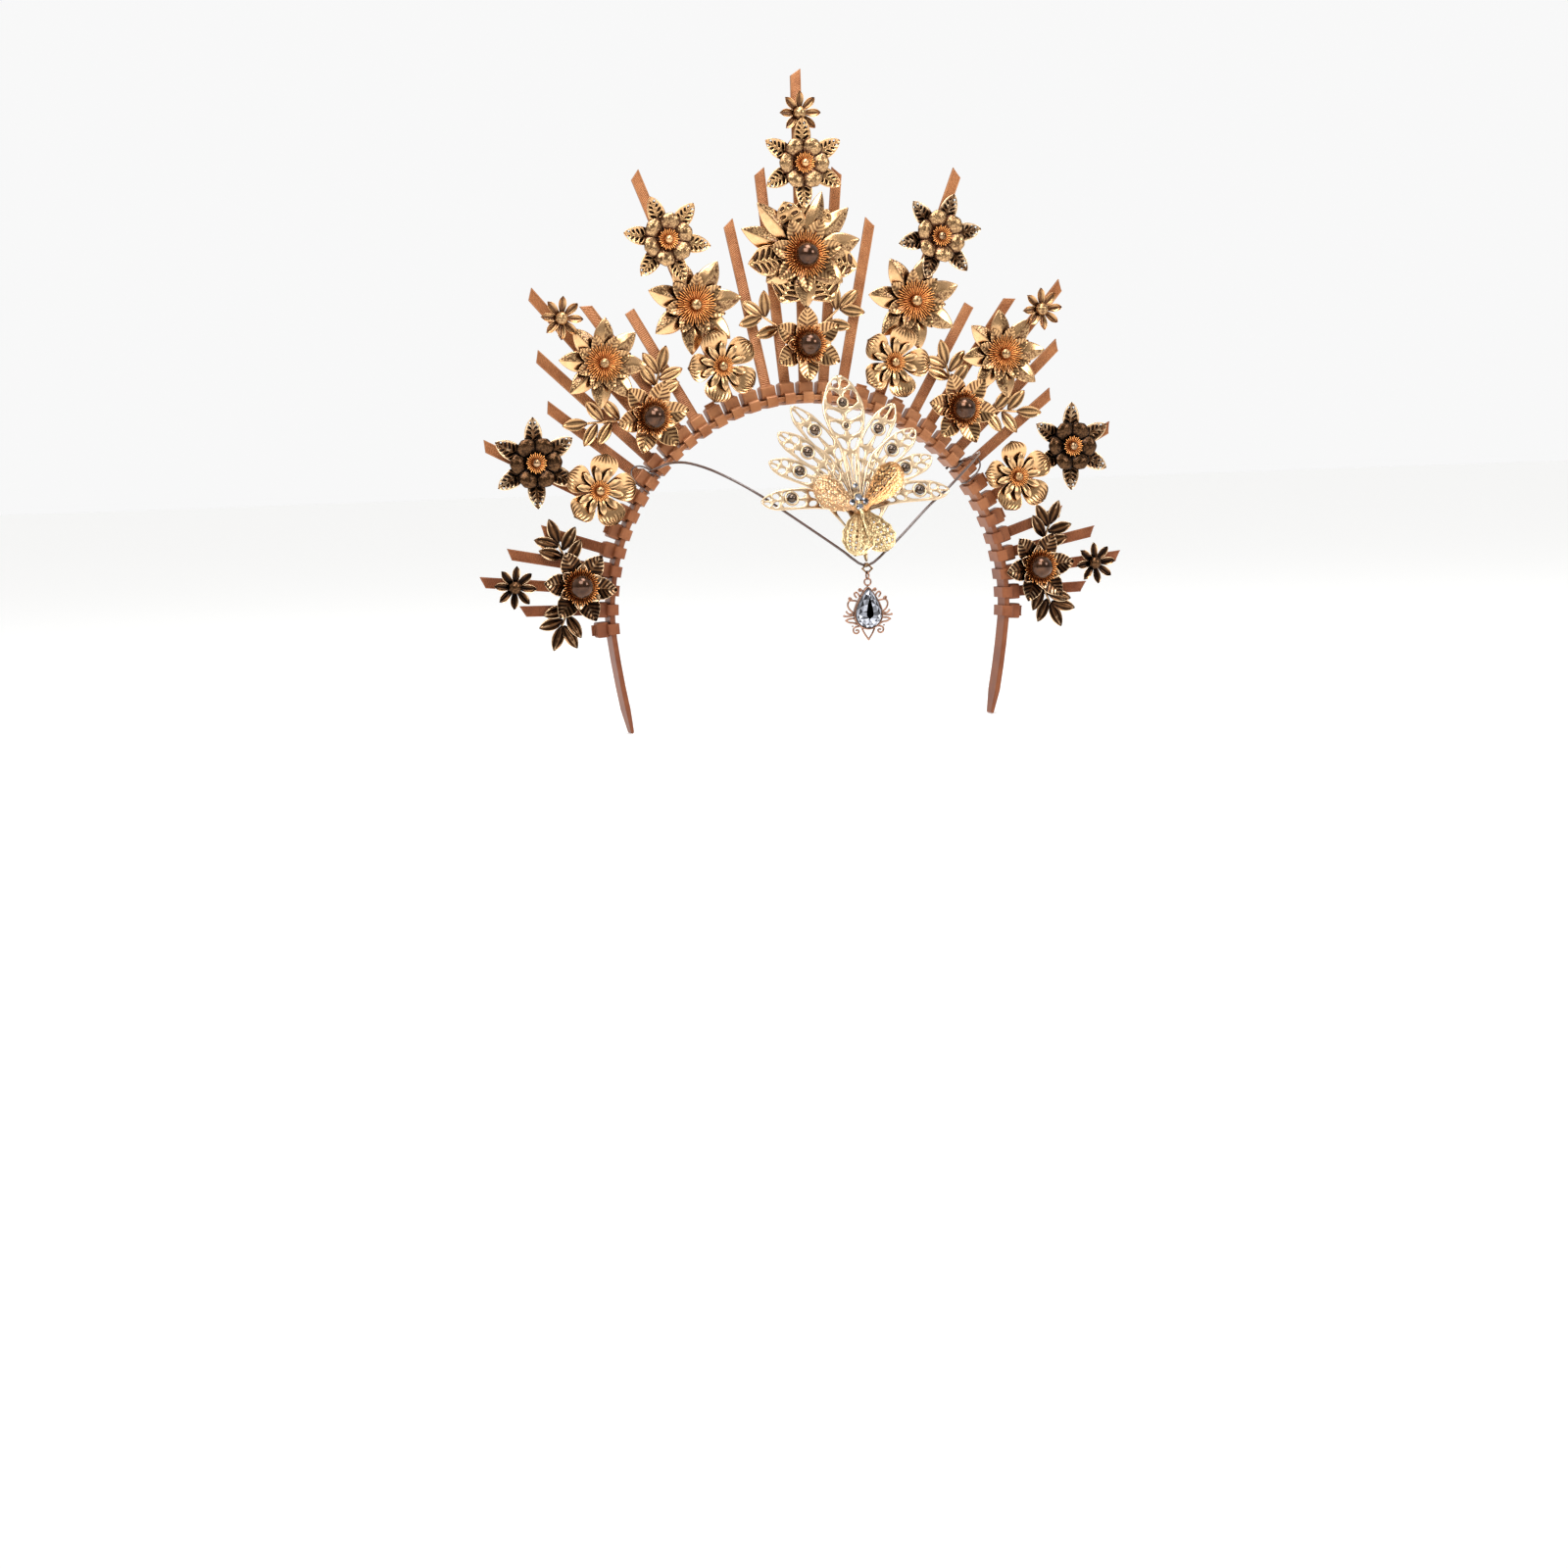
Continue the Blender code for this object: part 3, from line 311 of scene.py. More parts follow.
def add_tie(shape, tail_end, matrix, slant=0.0, lean=0.0):
    """Add a cable tie: the strap round the band, the head, and the tail with its ribbed track in front."""
    tie = bmesh.new()
    reach = BAND_HALF_WIDTH + TIE_GAP + TIE_THICKNESS
    add_box(tie, (-TIE_HALF_WIDTH, BAND_INNER - TIE_GAP - TIE_THICKNESS, -reach),
            (TIE_HALF_WIDTH, HEAD_FOOT + TIE_THICKNESS, reach))
    ends = [face for face in tie.faces if abs(face.normal.x) > 0.9]
    bmesh.ops.delete(tie, geom=ends, context="FACES_ONLY")
    bevel(tie, [edge for edge in tie.edges if len(edge.link_faces) == 2], TIE_CORNER, 4)
    bmesh.ops.solidify(tie, geom=tie.faces[:], thickness=TIE_THICKNESS)
    for half_width, foot, top, half_depth, rounding in HEAD_BLOCKS:
        block = add_box(tie, (-half_width, foot, -half_depth), (half_width, top, half_depth))
        bevel(tie, parts_of(block, "link_edges"), rounding)
    front = TIE_THICKNESS / 2
    length = tail_end - TAIL_ROOT
    tail = add_box(tie, (-TIE_HALF_WIDTH, TAIL_ROOT, -front),
                   (TIE_HALF_WIDTH, tail_end, front - RAIL_HEIGHT))
    for low, high in ((-TIE_HALF_WIDTH, -RAIL_INNER), (RAIL_INNER, TIE_HALF_WIDTH)):
        tail += add_box(tie, (low, TAIL_ROOT, 0), (high, tail_end, front))
    rows = max(2, int(length / RIB_PITCH)) * 2
    track = bmesh.ops.create_grid(tie, x_segments=1, y_segments=rows, size=0.5)["verts"]
    for vert in track:
        row = round((vert.co.y + 0.5) * rows)
        vert.co = Vector((vert.co.x * TRACK_WIDTH, TAIL_ROOT + length * row / rows,
                          front - (RIB_TOP if row % 2 else RIB_FOOT)))
    for vert in tail + track:
        share = (vert.co.y - TAIL_ROOT) / length
        if slant:
            vert.co.y -= share * TAIL_CUT * (0.5 + slant * vert.co.x / (2 * TIE_HALF_WIDTH))
        vert.co.x += share * lean
    bmesh.ops.transform(tie, matrix=matrix, verts=tie.verts)
    mesh = bpy.data.meshes.new("tie")
    tie.to_mesh(mesh)
    tie.free()
    shape.from_mesh(mesh)
    bpy.data.meshes.remove(mesh)


copper = new_material("copper_plastic", (0.50, 0.20, 0.085), 0.42, 0.35)
clouds = add_noise(copper, 90.0, 4.0)
paint = add_ramp(copper, clouds, (0.30, (0.315, 0.112, 0.039)), (0.70, (0.525, 0.235, 0.095)))
# The paint is darkened towards the bottom of the crown by height: painted shade.
height = add_node(copper, "SeparateXYZ", "Z", {"Vector": add_node(copper, "TexCoord", "Object")})
way_up = add_node(copper, "MapRange", "Result", {"Value": height, "From Min": -0.105, "From Max": 0.045},
                  interpolation_type="SMOOTHSTEP")
painted_low_shade = add_ramp(copper, way_up, (0.0, (0.52, 0.36, 0.30)), (1.0, (1.0, 1.0, 1.0)))
paint_with_low_shade = add_node(copper, "VectorMath", "Vector", {0: paint, 1: painted_low_shade}, operation="MULTIPLY")
satin = add_node(copper, "MapRange", "Result", {"Value": clouds, "To Min": 0.34, "To Max": 0.52})
feed(shader_of(copper), {"Base Color": paint_with_low_shade, "Roughness": satin})
add_relief(copper, add_noise(copper, 2600.0), 0.25, 0.00005)

band = bmesh.new()
section = ((BAND_INNER, -BAND_HALF_WIDTH), (BAND_INNER, BAND_HALF_WIDTH), (BAND_OUTER, BAND_HALF_WIDTH),
           (BAND_OUTER, -BAND_HALF_WIDTH))
band.faces.new([band.verts.new(RING_CENTRE + Vector((0, y, radius))) for radius, y in section])
bend = BAND_END * PLACE_STEP
made = bmesh.ops.spin(band, geom=band.faces[:], cent=RING_CENTRE, axis=(0, 1, 0), angle=bend,
                      steps=int(2 * BAND_END))["geom_last"]
end_face = faces_in(made)[0]
for step in range(ARM_STEPS):
    made = bmesh.ops.extrude_face_region(band, geom=[end_face])["geom"]
    band.faces.remove(end_face)
    end_face = faces_in(made)[0]
    bend += ARM_BEND
    bmesh.ops.rotate(band, cent=end_face.calc_center_median(), matrix=Matrix.Rotation(ARM_BEND, 3, "Y"),
                     verts=end_face.verts)
    bmesh.ops.translate(band, vec=Vector((cos(bend), 0, -sin(bend))) * ARM_STEP, verts=end_face.verts)
for vert in end_face.verts:
    middle = end_face.calc_center_median()
    vert.co = middle + ARM_TIP * (vert.co - middle)
bmesh.ops.delete(band, geom=[face for face in band.faces if abs(face.calc_center_median().x) < WELD],
                 context="FACES_ONLY")
bmesh.ops.mirror(band, geom=band.verts[:] + band.edges[:] + band.faces[:], axis="X", merge_dist=WELD)
bmesh.ops.remove_doubles(band, verts=band.verts, dist=WELD)
bmesh.ops.recalc_face_normals(band, faces=band.faces)
bevel(band, [edge for edge in band.edges if len(edge.link_faces) == 2 and edge.calc_face_angle() > 1.0],
      BAND_ROUNDING)
for place in TRIMMED_TIES:
    add_tie(band, HEAD_TOP + TRIMMED_TAIL, turned(CROWN_FRAME, -place * PLACE_STEP))
add_piece("band_and_trimmed_ties", band, [copper], ["headband"], smooth=False)

# Rays. Cable ties pulled tight round the band, with their heads outwards and their tails left standing
# as flat ribbed rays, cut to length at a slant and painted with the band.
RAYS = (  # place round the band, share of the longest ray, lean in degrees, side that the cut slants to
    (0, 1.000, 0.0, -1), (1, 0.692, 0.3, 1), (2, 0.546, 1.4, 1), (4, 0.781, 1.2, 1), (6, 0.397, -0.6, 0),
    (7, 0.504, -0.2, -1), (8, 0.649, -0.4, 1), (9, 0.497, 0.4, 1), (10, 0.371, 0.4, 1),
    (12, 0.485, 0.8, 1), (14, 0.214, -0.6, 1), (15, 0.305, 1.0, 1), (16, 0.381, 1.2, 1),
    (17, 0.247, 0.4, 1))
RAY_LENGTH = 0.1405


def copies(middle):
    """One copy of a part in the crown's middle, or two mirrored copies, with their names' endings."""
    return ((1, ""),) if middle else ((-1, "_right"), (1, "_left"))


for place, share, lean, slant in RAYS:
    for side, ending in copies(place == 0):
        ray = bmesh.new()
        length = RAY_LENGTH * share
        add_tie(ray, HEAD_TOP + length, turned(CROWN_FRAME, -place * PLACE_STEP * side), slant * side,
                tan(radians(lean)) * length * side)
        add_piece(f"tie_{place:02d}{ending}", ray, [copper],
                  [f"ray_{place:02d}{ending}"], smooth=False)


# Flowers. Stamped and cast metal flowers with a bright yellow gold plate whose recesses are darkened as
# painted shade, each with layers of petals round a knob or a pearl, glued by a pad to the rays and the tie
# heads.
def span(count, low=-1.0, high=1.0):
    """Evenly spaced values from low to high."""
    return [low + (high - low) * i / count for i in range(count + 1)]


# The last finish colours the dark sheet under pierced leaves, which is a painted shadow.
GOLD, SPECKLED, COPPER, PEARL, SHADOW_BACKING = range(5)
PAD_RADIUS, PAD_HEIGHT, HIGH_PAD_HEIGHT, GLUE_PLANE = 0.0032, 0.0014, 0.0038, 0.0009
# ROOT_SHADE darkens petal roots as painted shade; RIM_SHINE brightens rims, partly polish and partly a
# painted highlight.
ROOT_SHADE, RIM_SHINE, FILAMENT = 0.7, 0.4, 0.0004


def add_petal(shape, matrix, start, end, across, along, width, height, thickness, hole=None, tone=None,
              shear=0.0, material=0, sway=None, groove=None, slide=None, behind=None):
    """Add one petal that grows along +Y: a grid drawn to its outline, pierced, then given a thickness.

    A point of it lies at the share u along it, from 0 to 1, and s across it, from -1 to 1. across and
    along place the grid's lines, width and height give half the width and the front surface, shear slants
    the cells to the tip, slide moves the lines that run along it, and behind is the finish of the back
    where it differs. The function given after sway says how dark the plate is painted there, from 0 to 1,
    a painted shade in its sunk lines, or how bright below 0; the root is darkened as painted shade too.
    The rims are brighter, partly polish and partly a painted highlight.
    """
    columns, rows = len(across) - 1, len(along) - 1
    grooves = shape.verts.layers.float.get("groove") or shape.verts.layers.float.new("groove")
    sheet = bmesh.ops.create_grid(shape, x_segments=columns, y_segments=rows, size=0.5)["verts"]
    faces = parts_of(sheet, "link_faces")
    pierced = []
    for face in faces:
        middle = face.calc_center_median()
        column, row = int((middle.x + 0.5) * columns), int((middle.y + 0.5) * rows)
        face.material_index = tone(column, row) if tone else material
        if hole and hole(column, row):
            pierced.append(face)
    for vert in sheet:
        s = across[round((vert.co.x + 0.5) * columns)]
        u = along[round((vert.co.y + 0.5) * rows)]
        # Painted shade at the root and in sunk lines, and a brighter rim that is partly a painted highlight.
        depth = ROOT_SHADE * (1 - u) ** 3 + (groove(s, u) if groove else 0.0)
        vert[grooves] = depth - (RIM_SHINE if abs(s) == 1.0 and depth < 0.5 else 0.0)
        u = min(u + shear * abs(s) * width(u) / (end - start), 1.0)
        s = slide(s, width(u)) if slide else s
        vert.co = (s * width(u) + (sway(u) if sway else 0.0), start + (end - start) * u, height(s, u))
    bmesh.ops.delete(shape, geom=pierced, context="FACES")
    faces = [face for face in faces if face.is_valid]
    fronts = [vert for vert in sheet if vert.is_valid]
    made = bmesh.ops.extrude_face_region(shape, geom=faces, use_keep_orig=True)["geom"]
    backs = [item for item in made if isinstance(item, bmesh.types.BMVert)]
    bmesh.ops.translate(shape, vec=(0, 0, -thickness), verts=backs)
    for face in faces_in(made):
        face.material_index = face.material_index if behind is None else behind
    bmesh.ops.transform(shape, matrix=matrix, verts=fronts + backs)


def leaf_width(full, widest=1.0, round_tip=0.5, foot=0.12):
    """Half the width of a leaf from the share along it: widest moves its middle, round_tip blunts it."""
    return lambda u: full * max(sin(pi * min(max(u, 0.0), 1.0) ** widest) ** round_tip,
                                foot * (1.0 - u), 0.02)


def add_petals(shape, frame, count, shift, start, end, across, along, outline, height, thickness, **details):
    """Add a ring of like petals. The frame is scaled, so every size is a share of the flower's radius."""
    for i in range(count):
        add_petal(shape, turned(frame, tau * (i + shift) / count), start, end, across, along,
                  leaf_width(*outline), height, thickness, **details)


def add_pierced_leaves(shape, frame, count, start, end, across, along, outline, height, thickness, openings,
                       backing, shear):
    """Add a ring of leaves pierced in some columns, over a dark sheet that is smaller and lower, a painted
    shadow seen through the piercings, gold at its back.
    """
    back_start, back_end, narrower, lower = backing
    add_petals(shape, frame, count, 0, start, end, across, along, outline, height, thickness, shear=shear,
               hole=lambda column, row: column in openings and row % 2 == 1)
    add_petals(shape, frame, count, 0, back_start, back_end, span(4), span(8, 0.0),
               (outline[0] - narrower, *outline[1:]), lambda s, u: height(s, u) - lower, 0.015,
               material=SHADOW_BACKING, behind=GOLD)


def add_creased_petals(shape, frame, count, start, end, half, low, high):
    """Add a ring of pointed petals with a raised crease, bright on one side and speckled on the other."""
    add_petals(shape, frame, count, 0, start, end, span(8), span(10, 0.0), (half, 0.95, 0.8, 0.35),
               lambda s, u: low + (high - low) * u + 0.075 * (1 - abs(s)) * sin(pi * u), 0.028,
               tone=lambda column, row: SPECKLED if column >= 4 else GOLD,
               groove=lambda s, u: 0.12 * (0.1 < s < 0.9) + 0.3 * (u < 0.25) - 0.2 * (s < -0.1))


def add_veined_petals(shape, frame, count, start, end, half, round_tip, veins, low, wave, thickness, dark):
    """Add a ring of small petals with a sunk rib and dark veins across them."""
    add_petals(shape, frame, count, 0.5, start, end, span(6), span(veins, 0.0), (half, 1.0, round_tip, 0.4),
               lambda s, u: low + 0.12 * u - 0.03 * (1 - abs(s)) + wave * cos(veins * pi * u), thickness,
               shear=0.6, groove=lambda s, u: dark * (round(veins * u) % 2) + 0.4 * (abs(s) < 0.1))


def add_filaments(shape, frame, count, start, end, low, high, half):
    """Add a ring of fine copper filaments that rise from the flower's heart, every other one shorter."""
    thickness = FILAMENT / frame.to_scale().x
    for i in range(count):
        reach = end if i % 2 == 0 else start + (end - start) * 0.86
        add_petal(shape, turned(frame, tau * i / count), start, reach, (-1.0, 0.0, 1.0), span(3, 0.0),
                  lambda u: half * (0.55 + 0.6 * u),
                  lambda s, u: low + (high - low) * u ** 1.4 - 0.25 * thickness * abs(s), thickness,
                  material=COPPER, groove=lambda s, u: 0.5 * (abs(s) > 0.5))


def add_knob(shape, matrix, height, radius, material, squash=0.8):
    """Add a round knob or a pearl at the front of a flower."""
    verts = bmesh.ops.create_uvsphere(shape, u_segments=20, v_segments=12, radius=radius)["verts"]
    for face in parts_of(verts, "link_faces"):
        face.material_index = material
    place = moved(matrix, z=height) @ Matrix.Diagonal((1, 1, squash, 1))
    bmesh.ops.transform(shape, matrix=place, verts=verts)


def join_rings(shape, rings):
    """Join each ring of vertices to the next with faces, and return the faces."""
    faces = []
    for near, far in zip(rings, rings[1:]):
        pair = set(near) | set(far)
        edges = [edge for edge in parts_of(near + far, "link_edges") if set(edge.verts) <= pair]
        faces += bmesh.ops.bridge_loops(shape, edges=edges)["faces"]
    return faces


def add_pad(shape, frame, height, spread):
    """Add the turned pad that is glued to the ray, from its back to its front."""
    rings = [bmesh.ops.create_circle(shape, segments=24, radius=PAD_RADIUS * share,
                                     matrix=moved(frame, z=level))["verts"]
             for share, level in ((0.94, 0.0), (1.0, 0.0004), (1.0, height), (0.9, height + spread))]
    faces = join_rings(shape, rings) + [shape.faces.new(rings[0]), shape.faces.new(rings[-1])]
    for face in faces:
        face.material_index = SPECKLED


def leafy(shape, frame):
    """Six pierced leaves under a cupped flower of six round petals, every other one raised."""
    add_pierced_leaves(shape, frame, 6, 0.10, 1.0, (-1.0, -0.74, -0.14, 0.0, 0.14, 0.74, 1.0),
                       (0.0, *span(9, 0.30, 0.84), 1.0), (0.205, 1.15, 0.70, 0.3),
                       lambda s, u: 0.07 + 0.09 * u + 0.03 * s * s, 0.035, (1, 4),
                       (0.12, 0.92, 0.03, 0.05), 0.60)
    for raised in (0, 1):
        add_petals(shape, frame, 3, 0.25 + 0.5 * raised, 0.10, 0.59, span(8), span(8, 0.0),
                   (0.245, 1.5, 0.5, 0.35),
                   lambda s, u: 0.15 + 0.02 * raised + 0.10 * u + 0.085 * (1 - s * s) * sin(pi * u ** 1.3),
                   0.035, material=SPECKLED, groove=lambda s, u: 0.9 * (abs(s) > 0.9) + 0.4 * (u < 0.3))
    add_filaments(shape, frame, 26, 0.05, 0.24, 0.25, 0.31, 0.014634)
    add_knob(shape, frame, 0.30, 0.10, GOLD, 0.9)


def lily(shape, frame, petals=7):
    """Seven creased petals, seven small veined ones and a disc of copper filaments round a knob."""
    add_creased_petals(shape, frame, petals, 0.12, 1.0, 0.235, 0.06, 0.16)
    add_veined_petals(shape, frame, petals, 0.08, 0.64, 0.155, 0.75, 14, 0.15, 0.014, 0.028, 0.7)
    add_filaments(shape, frame, 44, 0.05, 0.44, 0.22, 0.27, 0.011)
    add_filaments(shape, turned(frame, 0.07), 30, 0.05, 0.30, 0.24, 0.32, 0.011)
    add_knob(shape, frame, 0.29, 0.12, SPECKLED, 0.75)


def sunburst(shape, frame):
    """The lily's smaller sister with eight petals."""
    lily(shape, frame, 8)


def shell(shape, frame):
    """Five cupped petals fluted at the rim, ten looped petals and a knob in a copper heart."""
    def fluted(s):
        return round(12 * (s + 1)) % 3 == 1
    add_petals(
        shape, frame, 5, 0, 0.10, 1.0, span(24), span(10, 0.0), (0.39, 1.7, 0.50, 0.36),
        lambda s, u: 0.04 + 0.24 * sin(1.75 * u) + 0.10 * s * s * u - 0.14 * max(0.0, u - 0.65) * fluted(s),
        0.03, groove=lambda s, u: 1.3 if u > 0.72 and fluted(s) else -0.12 if u > 0.3 else 0.15)
    add_petals(shape, frame, 10, 0.5, 0.12, 0.66, (-1.0, -0.55, 0.0, 0.55, 1.0), span(6, 0.0),
               (0.100, 1.4, 0.55, 0.45), lambda s, u: 0.22 + 0.13 * sin(2.2 * u) + 0.02 * abs(s), 0.03,
               groove=lambda s, u: 0.5 * (abs(s) < 0.2) * (u < 0.6) - 0.2 * (u > 0.6))
    add_filaments(shape, frame, 30, 0.04, 0.30, 0.26, 0.34, 0.016)
    add_knob(shape, frame, 0.32, 0.13, SPECKLED, 0.75)


def pearl_flower(shape, frame):
    """Six leaves ribbed like a feather, a fringed copper cup and a bronze pearl."""
    add_petals(shape, frame, 6, 0, 0.14, 1.0, (-1.0, -0.84, -0.5, -0.16, 0.0, 0.16, 0.5, 0.84, 1.0),
               span(24, 0.0), (0.30, 1.0, 0.85, 0.4), lambda s, u: 0.06 + 0.14 * u + 0.06 * abs(s), 0.03,
               shear=0.55, groove=lambda s, u: 1.5 * (round(24 * u) % 3 == 1) * (0.1 < abs(s) < 0.9))
    add_petals(shape, frame, 6, 0.5, 0.14, 0.62, span(4), span(6, 0.0), (0.17, 1.0, 0.7, 0.4),
               lambda s, u: 0.13 + 0.14 * u + 0.04 * abs(s), 0.03)
    add_filaments(shape, frame, 44, 0.14, 0.50, 0.16, 0.34, 0.018)
    add_knob(shape, frame, 0.27, 0.335, PEARL, 1.0)


def daisy(shape, frame):
    """Eight narrow trough petals with raised rims round a grained knob."""
    add_petals(shape, frame, 8, 0, 0.14, 1.0, (-1.0, -0.7, -0.25, 0.25, 0.7, 1.0), span(6, 0.0),
               (0.20, 1.25, 0.55, 0.45), lambda s, u: 0.12 + 0.17 * u + 0.13 * abs(s) ** 3, 0.05,
               tone=lambda column, row: SPECKLED if column == 2 else GOLD,
               groove=lambda s, u: 0.6 * (abs(s) < 0.3) * (u < 0.9))
    add_knob(shape, frame, 0.26, 0.32, SPECKLED, 0.85)


CENTRE_LEAVES = (
    (68, 1.14, 0.20, "creased"), (43, 1.15, 0.19, "creased"), (-17, 1.06, 0.16, "creased"),
    (-46, 1.08, 0.19, "creased"), (-76, 0.98, 0.22, "creased"), (22, 0.92, 0.26, "fretted"),
    (0, 0.90, 0.20, "fretted"), (-30, 0.84, 0.20, "fretted"), (98, 1.00, 0.25, "ribbed"),
    (-103, 0.92, 0.25, "ribbed"), (123, 0.80, 0.22, "creased"), (-126, 0.78, 0.22, "creased"),
    (150, 0.88, 0.33, "ribbed"), (-150, 0.88, 0.33, "ribbed"), (180, 0.86, 0.20, "creased"))
LAYER_STEP = 0.025


def centre_flower(shape, frame):
    """Leaves of three patterns in layers round a disc of copper filaments and a large bronze pearl."""
    for number, (direction, end, half, pattern) in enumerate(CENTRE_LEAVES):
        place = moved(turned(frame, radians(direction)), z=number % 3 * LAYER_STEP)
        if pattern == "creased":
            add_creased_petals(shape, place, 1, 0.14, end, half, 0.04, 0.13)
        elif pattern == "fretted":
            add_pierced_leaves(
                shape, place, 1, 0.14, end, (-1.0, -0.72, -0.2, 0.2, 0.72, 1.0),
                (0.0, 0.30, 0.36, 0.48, 0.54, 0.66, 0.72, 0.84, 0.90, 1.0), (half, 1.05, 0.55, 0.4),
                lambda s, u: 0.05 + 0.09 * u, 0.028, (1, 3), (0.14, end - 0.03, 0.02, 0.03), 0.0)
        else:
            add_pierced_leaves(
                shape, place, 1, 0.14, end, (-1.0, -0.80, -0.42, -0.07, 0.07, 0.42, 0.80, 1.0),
                (0.0, *span(11, 0.22, 0.88), 1.0), (half, 1.25, 0.55, 0.4),
                lambda s, u: 0.06 + 0.10 * u + 0.04 * s * s, 0.028, (1, 2, 4, 5),
                (0.14, end - 0.04, 0.02, 0.04), -0.45)
    add_veined_petals(shape, frame, 7, 0.10, 0.62, 0.16, 0.8, 16, 0.16, 0.012, 0.025, 0.75)
    add_filaments(shape, frame, 52, 0.06, 0.40, 0.19, 0.25, 0.009)
    add_filaments(shape, turned(frame, 0.06), 36, 0.06, 0.29, 0.20, 0.29, 0.009)
    add_knob(shape, frame, 0.235, 0.215, PEARL, 1.0)


def gilt(name, light, deep, roughness, grain=0.0, coat=0.28, rim=None):
    """A plated metal with small dents and grain, with painted shade in its recesses and sunk lines, and a
    bright rim that is partly polish and partly a painted highlight.
    """
    def scaled(value, factor, added):
        return add_node(metal, "Math", "Value", {0: value, 1: factor, 2: added}, operation="MULTIPLY_ADD")
    metal = new_material(name, light, roughness, 1.0, coat, 0.14)
    # Ambient occlusion darkens the recesses: painted shade.
    recess = add_node(metal, "AmbientOcclusion", "AO", {"Distance": 0.0045}, samples=6)
    depth = add_node(metal, "MapRange", "Result",
                     {"Value": recess, "From Min": 0.25, "From Max": 0.85, "To Min": -0.25, "To Max": 0.55})
    height = add_noise(metal, 420.0, 5.0)
    # The attribute read here darkens sunk lines and petal roots as painted shade, and below 0 brightens rims,
    # partly a painted highlight.
    shade_and_shine_mark = add_node(metal, "Attribute", "Fac", attribute_name="groove")
    tone = scaled(shade_and_shine_mark, -0.85, scaled(height, 0.5, depth))
    if grain:
        beads = add_node(metal, "TexVoronoi", "Distance", {"Vector": add_node(metal, "TexCoord", "Object"),
                                                           "Scale": 1150.0 if grain < 1 else 800.0})
        tone = height = scaled(beads, -grain, tone)
    between = [0.45 * a + 0.2 * b for a, b in zip(light, deep)]
    # The rim colour is partly polish and partly a painted highlight.
    edge = rim or [min(1.0, 1.25 * part + 0.05) for part in light]
    feed(shader_of(metal), {"Base Color": add_ramp(metal, tone, (0.0, deep), (0.34, between), (0.74, light),
                                                   (1.0, edge))})
    add_relief(metal, height, 0.55, 0.00012 + 0.00014 * grain)
    return metal


yellow_gold = gilt("yellow_gold", (0.62, 0.352, 0.152), (0.10, 0.036, 0.012), 0.22)
speckled_gold = gilt("speckled_gold", (0.76, 0.46, 0.215), (0.11, 0.042, 0.015), 0.27, grain=0.8)
copper_filaments = gilt("copper_filaments", (1.0, 0.42, 0.12), (0.62, 0.19, 0.042), 0.36, coat=0.2)
# shaded_gold here, and the darkest gold below, colour the dark sheet under pierced leaves: painted shadow.
shaded_gold = gilt("shaded_gold", (0.12, 0.052, 0.021), (0.02, 0.008, 0.004), 0.45, coat=0.1)
# These two copies of the gold are darkened as painted shade for the low flowers and one leafy flower; their
# bright rims are partly a painted highlight, and the bail uses the first.
low_shade_gold = gilt("low_shade_gold", (0.115, 0.050, 0.019), (0.006, 0.002, 0.001), 0.20, coat=0.08,
                 rim=(1.0, 0.70, 0.42))
low_shade_speckled_gold = gilt("low_shade_speckled_gold", (0.15, 0.072, 0.031), (0.006, 0.002, 0.001), 0.26, grain=0.7,
                          coat=0.08, rim=(0.95, 0.64, 0.36))
# The darkest sheet under pierced leaves, a deeper painted shadow for the leafy and the low flowers.
deep_shade_gold = gilt("deep_shade_gold", (0.030, 0.013, 0.006), (0.008, 0.003, 0.002), 0.5, coat=0.1)


def clouded(name, dark, light, roughness, metallic, coat):
    """A glossy lacquer over a metal whose colour drifts a little, as on the pearls and the small balls."""
    material = new_material(name, light, roughness, metallic, coat, 0.06)
    drift = add_ramp(material, add_noise(material, 260.0, 3.0), (0.36, dark), (0.66, light))
    feed(shader_of(material), {"Base Color": drift})
    return material


bronze_pearl = clouded("bronze_pearl", (0.040, 0.015, 0.006), (0.110, 0.046, 0.020), 0.22, 0.98, 0.5)
FLOWERS = (  # name, kind, angle in degrees, place as a share of the longest ray, radius, high pad
    ("daisy_top", daisy, 0.0, 0.857, 0.0098, False), ("leafy_top", leafy, 0.0, 0.696, 0.0205, True),
    ("centre_flower", centre_flower, 0.0, 0.4055, 0.0280, False),
    ("pearl_flower_top", pearl_flower, 0.0, 0.1195, 0.0170, True),
    ("leafy_upper", leafy, 21.3, 0.5455, 0.0205, True), ("lily", lily, 20.9, 0.321, 0.0225, False),
    ("shell_upper", shell, 20.5, 0.108, 0.0168, True),
    ("daisy_middle", daisy, 40.8, 0.521, 0.0098, True), ("sunburst", sunburst, 40.4, 0.325, 0.0205, False),
    ("pearl_flower_middle", pearl_flower, 40.1, 0.0925, 0.0170, True),
    ("leafy_lower", leafy, 61.7, 0.312, 0.0205, False), ("shell_lower", shell, 60.8, 0.0905, 0.0168, True),
    ("daisy_lower", daisy, 84.1, 0.272, 0.0098, False),
    ("pearl_flower_lower", pearl_flower, 82.9, 0.065, 0.0170, True))
